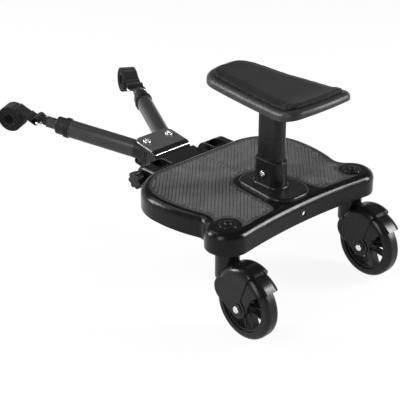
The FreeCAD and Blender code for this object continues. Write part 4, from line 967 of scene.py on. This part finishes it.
@dataclass
class ArmCollar:
    """Ribs round the ring of one arm's end collar."""

    side: Side
    setbacks: tuple[float, ...] = (52.6 * MM, 49.5 * MM, 46.4 * MM)
    half_width: float = 16.0 * MM
    half_height: float = 19.25 * MM
    bead_radius: float = 0.8 * MM
    corners: int = 24

    def outline(self) -> list[Point]:
        """Oval round the collar.

        Returns:
            Points across and up.
        """
        flat = self.half_height - self.half_width
        points = []
        for start, centre in ((0.0, flat), (math.pi, -flat)):
            for index in range(self.corners + 1):
                turn = start + math.pi * index / self.corners
                points.append(on_circle((0.0, centre), self.half_width, turn))
        return points

    def build(self) -> None:
        """Builds the ribs of this side's collar."""
        arm = ArmFrame.of(self.side)
        ribs = [[arm.point(-setback, up, across) for across, up in self.outline()]
                for setback in self.setbacks]
        name = self.side.node("collar_ribs")
        edges = line_mesh(name, ribs, closed=True)
        settle(beads(name, edges, self.bead_radius, ARM_PLASTIC), self.side.node("arm"), Slot.ARM)


@dataclass
class HitchStrap:
    """Hook-and-loop strap of one arm: a wound roll, a lead and an eye sewn round the steel ring."""

    side: Side
    width: float = 30.0 * MM
    thickness: float = 2.2 * MM
    pitch: float = 3.0 * MM
    turns: int = 5
    core_radius: float = 10.0 * MM
    eye_radius: float = 7.0 * MM
    eye_reach: float = 15.1 * MM
    roll_reach: float = 71.6 * MM
    roll_drop: float = 11.5 * MM
    tab_bend: float = 3.4 * MM
    tab_gap: float = 0.2 * MM
    tab_length: float = 11.0 * MM
    step: float = 1.7 * MM
    least_arc_steps: int = 6
    least_run_steps: int = 2
    edge_turns: tuple[int, ...] = (0, 45, 90, 135, 180)
    face_shares: tuple[float, ...] = (0.5, 0.0, -0.5)
    drift: float = 0.7 * MM
    drift_waves: float = 22.0
    drift_row: float = 3.7
    fuzz: float = 0.22 * MM
    fuzz_waves: float = 420.0
    stitch_rows: tuple[float, ...] = (2.5 * MM, 8.5 * MM)
    stitch_margin: float = 3.0 * MM
    stitch_pitch: float = 2.6 * MM
    stitch_length: float = 1.9 * MM
    thread_radius: float = 0.32 * MM

    def arc(self, centre: Point, radius: float, start: float, sweep: float) -> list[Point]:
        """Points on a clockwise arc.

        Args:
            centre: Centre of the arc.
            radius: Its radius.
            start: Bearing of its start, in degrees.
            sweep: How far it turns, in degrees, less than 0 for the other way.

        Returns:
            Points, without the last one.
        """
        count = max(self.least_arc_steps, round(math.radians(abs(sweep)) * radius / self.step))
        bearings = [math.radians(start - sweep * index / count) for index in range(count)]
        return [on_circle(centre, radius, turn) for turn in bearings]

    def middle_line(self) -> list[Point]:
        """Middle line of the strap in the arm's side view, from the core of the roll to the sewn end.

        Returns:
            Points along the arm and up from it.
        """
        roll = (self.roll_reach, -self.roll_drop)
        lower = (roll[0] - self.pitch / 2, roll[1])
        radius = self.core_radius + self.thickness / 2
        points = []
        for _ in range(self.turns):
            points += self.arc(roll, radius, 180, 180)
            radius += self.pitch / 2
            points += self.arc(lower, radius, 0, 180)
            radius += self.pitch / 2
        eye = (self.eye_reach, 0.0)
        apart = (eye[0] - roll[0], eye[1] - roll[1])
        swing = math.degrees(math.acos((radius + self.eye_radius) / math.hypot(*apart)))
        bearing = math.degrees(math.atan2(apart[1], apart[0])) - swing
        points += self.arc(roll, radius, 180, 180 - bearing)
        leave = self.arc(roll, radius, bearing, 0)[0]
        arrive = self.arc(eye, self.eye_radius, bearing + 180, 0)[0]
        points += self.run(leave, arrive)
        return points + self.closed_eye(eye, arrive, bearing)

    def run(self, start: Point, end: Point) -> list[Point]:
        """Points on a straight stretch.

        Args:
            start: Its start.
            end: Its end.

        Returns:
            Points, without the last one.
        """
        steps = max(self.least_run_steps, round(math.dist(start, end) / self.step))
        shares = [index / steps for index in range(steps)]
        return [(start[0] + (end[0] - start[0]) * share, start[1] + (end[1] - start[1]) * share)
                for share in shares]

    def closed_eye(self, eye: Point, arrive: Point, bearing: float) -> list[Point]:
        """Eye round the ring, whose end bends back and lies on the lead, where it is sewn down.

        Args:
            eye: Centre of the eye.
            arrive: Where the lead meets the eye.
            bearing: Bearing at which the lead leaves the roll, in degrees.

        Returns:
            Points along the eye and the sewn end.
        """
        inward = Vector(eye) - Vector(arrive)
        inward.normalize()
        back = Vector((inward.y, -inward.x))
        offset = self.thickness + self.tab_gap
        apart = self.eye_radius + self.tab_bend
        reach = math.sqrt(apart ** 2 - (self.eye_radius - offset - self.tab_bend) ** 2)
        bend = Vector(arrive) + back * reach + inward * (offset + self.tab_bend)
        leaving = math.degrees(math.atan2(bend.y - eye[1], bend.x - eye[0]))
        landing = math.degrees(math.atan2(-inward.y, -inward.x))
        points = self.arc(eye, self.eye_radius, bearing + 180, (bearing + 180 - leaving) % 360)
        points += self.arc(tuple(bend), self.tab_bend, leaving + 180, -((landing - leaving - 180) % 360))
        start = bend - inward * self.tab_bend
        end = start + back * self.tab_length
        return points + self.run(tuple(start), tuple(end)) + [tuple(end)]

    def section(self) -> list[Point]:
        """Outline of the strap cut across: rounded edges.

        Returns:
            Points through its thickness and across its width.
        """
        half = self.thickness / 2
        edge = self.width / 2 - half
        outline = []
        for centre, start in ((edge, -90), (-edge, 90)):
            for turn in self.edge_turns:
                angle = math.radians(start + turn)
                outline.append((half * math.sin(angle), centre + half * math.cos(angle)))
            outline += [(math.copysign(half, -start), centre * share) for share in self.face_shares]
        return outline

    def mesh(self) -> tuple[Mesh, float]:
        """Strap swept along its line, with wandering edges and a rough face.

        Returns:
            The mesh and the strap's length.
        """
        arm = ArmFrame.of(self.side)
        line = self.middle_line()
        outline = self.section()
        shape = bmesh.new()
        flat = shape.loops.layers.uv.new("flat")
        rings, runs = [], []
        run = 0.0
        for index, spot in enumerate(line):
            before = line[max(index - 1, 0)]
            after = line[min(index + 1, len(line) - 1)]
            along = Vector((after[0] - before[0], after[1] - before[1])).normalized()
            out = (-along.y, along.x)
            if index:
                run += math.dist(before, spot)
            wander = self.drift * noise.noise(Vector((run * self.drift_waves, self.drift_row, 0)))
            ring = []
            for rise, across in outline:
                rough = self.fuzz * noise.noise(Vector((run, across, rise)) * self.fuzz_waves)
                lift = rise + rough
                place = arm.point(spot[0] + out[0] * lift, spot[1] + out[1] * lift, across + wander)
                ring.append(shape.verts.new(place))
            rings.append(ring)
            runs.append(run)
        count = len(outline)
        girth = [0.0]
        for edge in range(count):
            girth.append(girth[-1] + math.dist(outline[edge], outline[(edge + 1) % count]))
        for index in range(len(rings) - 1):
            for edge in range(count):
                corners = ((index, edge), (index + 1, edge), (index + 1, edge + 1), (index, edge + 1))
                face = shape.faces.new([rings[ring][spot % count] for ring, spot in corners])
                for loop, (ring, spot) in zip(face.loops, corners):
                    loop[flat].uv = (runs[ring], girth[spot])
        shape.faces.new(rings[0])
        shape.faces.new(list(reversed(rings[-1])))
        bmesh.ops.recalc_face_normals(shape, faces=shape.faces)
        mesh = bpy.data.meshes.new(self.side.node("webbing"))
        shape.to_mesh(mesh)
        shape.free()
        mesh.shade_smooth()
        mesh.materials.append(STRAP_WEBBING.material())
        return mesh, runs[-1]

    def stitches(self) -> Piece:
        """Rows of stitches across the sewn end, on its face and under the lead that it lies on.

        Returns:
            The piece.
        """
        arm = ArmFrame.of(self.side)
        line = self.middle_line()
        end = Vector(line[-1])
        toward = (Vector(line[-3]) - end).normalized()
        out = Vector((-toward.y, toward.x))
        out *= math.copysign(1.0, out.y)
        reach = self.width / 2 - self.stitch_margin
        rows = []
        for row in self.stitch_rows:
            for face in (self.thickness / 2, -self.thickness * 1.5 - self.tab_gap):
                spot = end + toward * row + out * face
                rows.append([arm.point(spot.x, spot.y, across) for across in (-reach, reach)])
        name = self.side.node("strap_stitches")
        return stitch_tree().make(name, line_mesh(name, rows, closed=False), {
            "Stitch Pitch": self.stitch_pitch, "Stitch Length": self.stitch_length,
            "Thread Radius": self.thread_radius, "Finish": STRAP_THREAD.material()})

    def build(self) -> None:
        """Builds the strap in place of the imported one."""
        mesh, length = self.mesh()
        body = self.side.node("hitch_strap")
        strap = new_object(self.side.node("webbing"), mesh)
        settle(strap, body, Slot.STRAP, self.side.node("strap"))
        stitches = settle(self.stitches(), body, Slot.STRAP)
        self.side.node("strap_ring")


@dataclass(frozen=True)
class Lamp:
    """Soft rectangular light, turned to the board."""

    name: str
    place: Triple
    size: Point
    power: float
    aim: Triple = (0.0, -0.05, 0.2)

    def build(self) -> None:
        """Hangs the light."""
        data = bpy.data.lights.new(self.name, "AREA")
        data.shape = "RECTANGLE"
        data.size, data.size_y = self.size
        data.energy = self.power
        made = bpy.data.objects.new(self.name, data)
        made.location = self.place
        toward = Vector(self.aim) - Vector(self.place)
        made.rotation_mode = "QUATERNION"
        made.rotation_quaternion = toward.to_track_quat("-Z", "Y")
        bpy.context.scene.collection.objects.link(made)


LAMPS = (
    Lamp("overhead", (-0.5, 1.3, 2.0), (1.2, 1.2), 11.0),
    Lamp("left", (-1.8, -0.45, 1.3), (0.7, 1.5), 25.0),
    Lamp("rear_right", (1.66, -1.6, 1.24), (0.65, 1.2), 76.0),
    Lamp("front_left", (-1.37, 1.71, 1.2), (0.65, 1.1), 54.0),
)


@dataclass
class Studio:
    """Plain pale floor, soft light and the camera."""

    camera_place: Triple = (-1.3930, -1.52766, 1.1311)
    camera_azimuth: float = -43.0
    camera_pitch: float = 26.9
    lens: float = 111.36
    sensor: float = 36.0
    clip_start: float = 0.05
    floor_size: float = 30.0
    floor_grey: float = 0.9
    floor_share: float = 0.9
    world_strength: float = 0.12
    backdrop_fade: float = 0.4 / 3
    backdrop_top: float = 0.4

    def camera(self) -> None:
        """Sets the camera where the photograph was taken from."""
        data = bpy.data.cameras.new("photo_camera")
        data.lens = self.lens
        data.sensor_width = self.sensor
        data.clip_start = self.clip_start
        made = bpy.data.objects.new("photo_camera", data)
        made.location = self.camera_place
        tilt = math.radians(90.0 - self.camera_pitch)
        made.rotation_euler = (tilt, 0.0, math.radians(self.camera_azimuth))
        bpy.context.scene.collection.objects.link(made)
        bpy.context.scene.camera = made

    def seen(self, graph: NodeGraph) -> Socket:
        """Share of a ray that sees the white background: camera, glossy and transmission rays.

        Args:
            graph: Tree of the world or the floor.

        Returns:
            The share's socket.
        """
        path = graph.add("ShaderNodeLightPath").outputs
        shown = graph.maths("MAXIMUM", path["Is Camera Ray"], path["Is Glossy Ray"])
        return graph.maths("MAXIMUM", shown, path["Is Transmission Ray"])

    def world(self) -> None:
        """White backdrop round the floor, under a dim ceiling that lights the object softly."""
        world = bpy.data.worlds.new("studio")
        graph = NodeGraph.fresh(world)
        soft, white = [graph.add("ShaderNodeBackground", {"Color": WHITE, "Strength": strength})
                       for strength in (self.world_strength, 1.0)]
        toward = graph.add("ShaderNodeTexCoord").outputs["Generated"]
        height = graph.add("ShaderNodeSeparateXYZ", {0: toward}).outputs["Z"]
        low = graph.add("ShaderNodeMapRange", {
            "Value": height, "From Min": self.backdrop_fade, "From Max": self.backdrop_top,
            "To Min": 1.0, "To Max": 0.0}).outputs[0]
        shown = graph.maths("MULTIPLY", self.seen(graph), low)
        mixed = graph.add("ShaderNodeMixShader", {0: shown, 1: soft.outputs[0], 2: white.outputs[0]})
        graph.add("ShaderNodeOutputWorld", {"Surface": mixed.outputs[0]})
        bpy.context.scene.world = world

    def floor(self) -> None:
        """Pale floor under the wheels that keeps a faint shadow."""
        half = self.floor_size / 2
        mesh = bpy.data.meshes.new("floor")
        corners = [(-half, -half, 0), (half, -half, 0), (half, half, 0), (-half, half, 0)]
        mesh.from_pydata(corners, [], [(0, 1, 2, 3)])
        material = bpy.data.materials.new("floor_white")
        graph = NodeGraph.fresh(material)
        matt = graph.add("ShaderNodeBsdfDiffuse", {"Color": (*[self.floor_grey] * 3, 1.0)})
        white = graph.add("ShaderNodeEmission", {"Color": WHITE, "Strength": 1.0})
        share = graph.maths("MULTIPLY", self.seen(graph), self.floor_share)
        mixed = graph.add("ShaderNodeMixShader", {0: share, 1: matt.outputs[0], 2: white.outputs[0]})
        graph.add("ShaderNodeOutputMaterial", {"Surface": mixed.outputs[0]})
        mesh.materials.append(material)
        new_object("floor", mesh)

    def build(self) -> None:
        """Sets up floor, world, lights and camera."""
        self.floor()
        self.world()
        for lamp in LAMPS:
            lamp.build()
        self.camera()
        bpy.context.scene.view_settings.view_transform = "Standard"


def main() -> None:
    """Builds and dresses every piece."""
    logging.basicConfig(level=logging.INFO, format="%(name)s: %(message)s")
    dress_frame()
    GripMat().build()
    SaddlePad().build()
    HeadCover().build()
    KnuckleRims().build()
    for side in Side:
        WheelTrim(side).build()
        ArmCollar(side).build()
        HitchStrap(side).build()
    Studio().build()


if __name__ == "__main__":
    main()
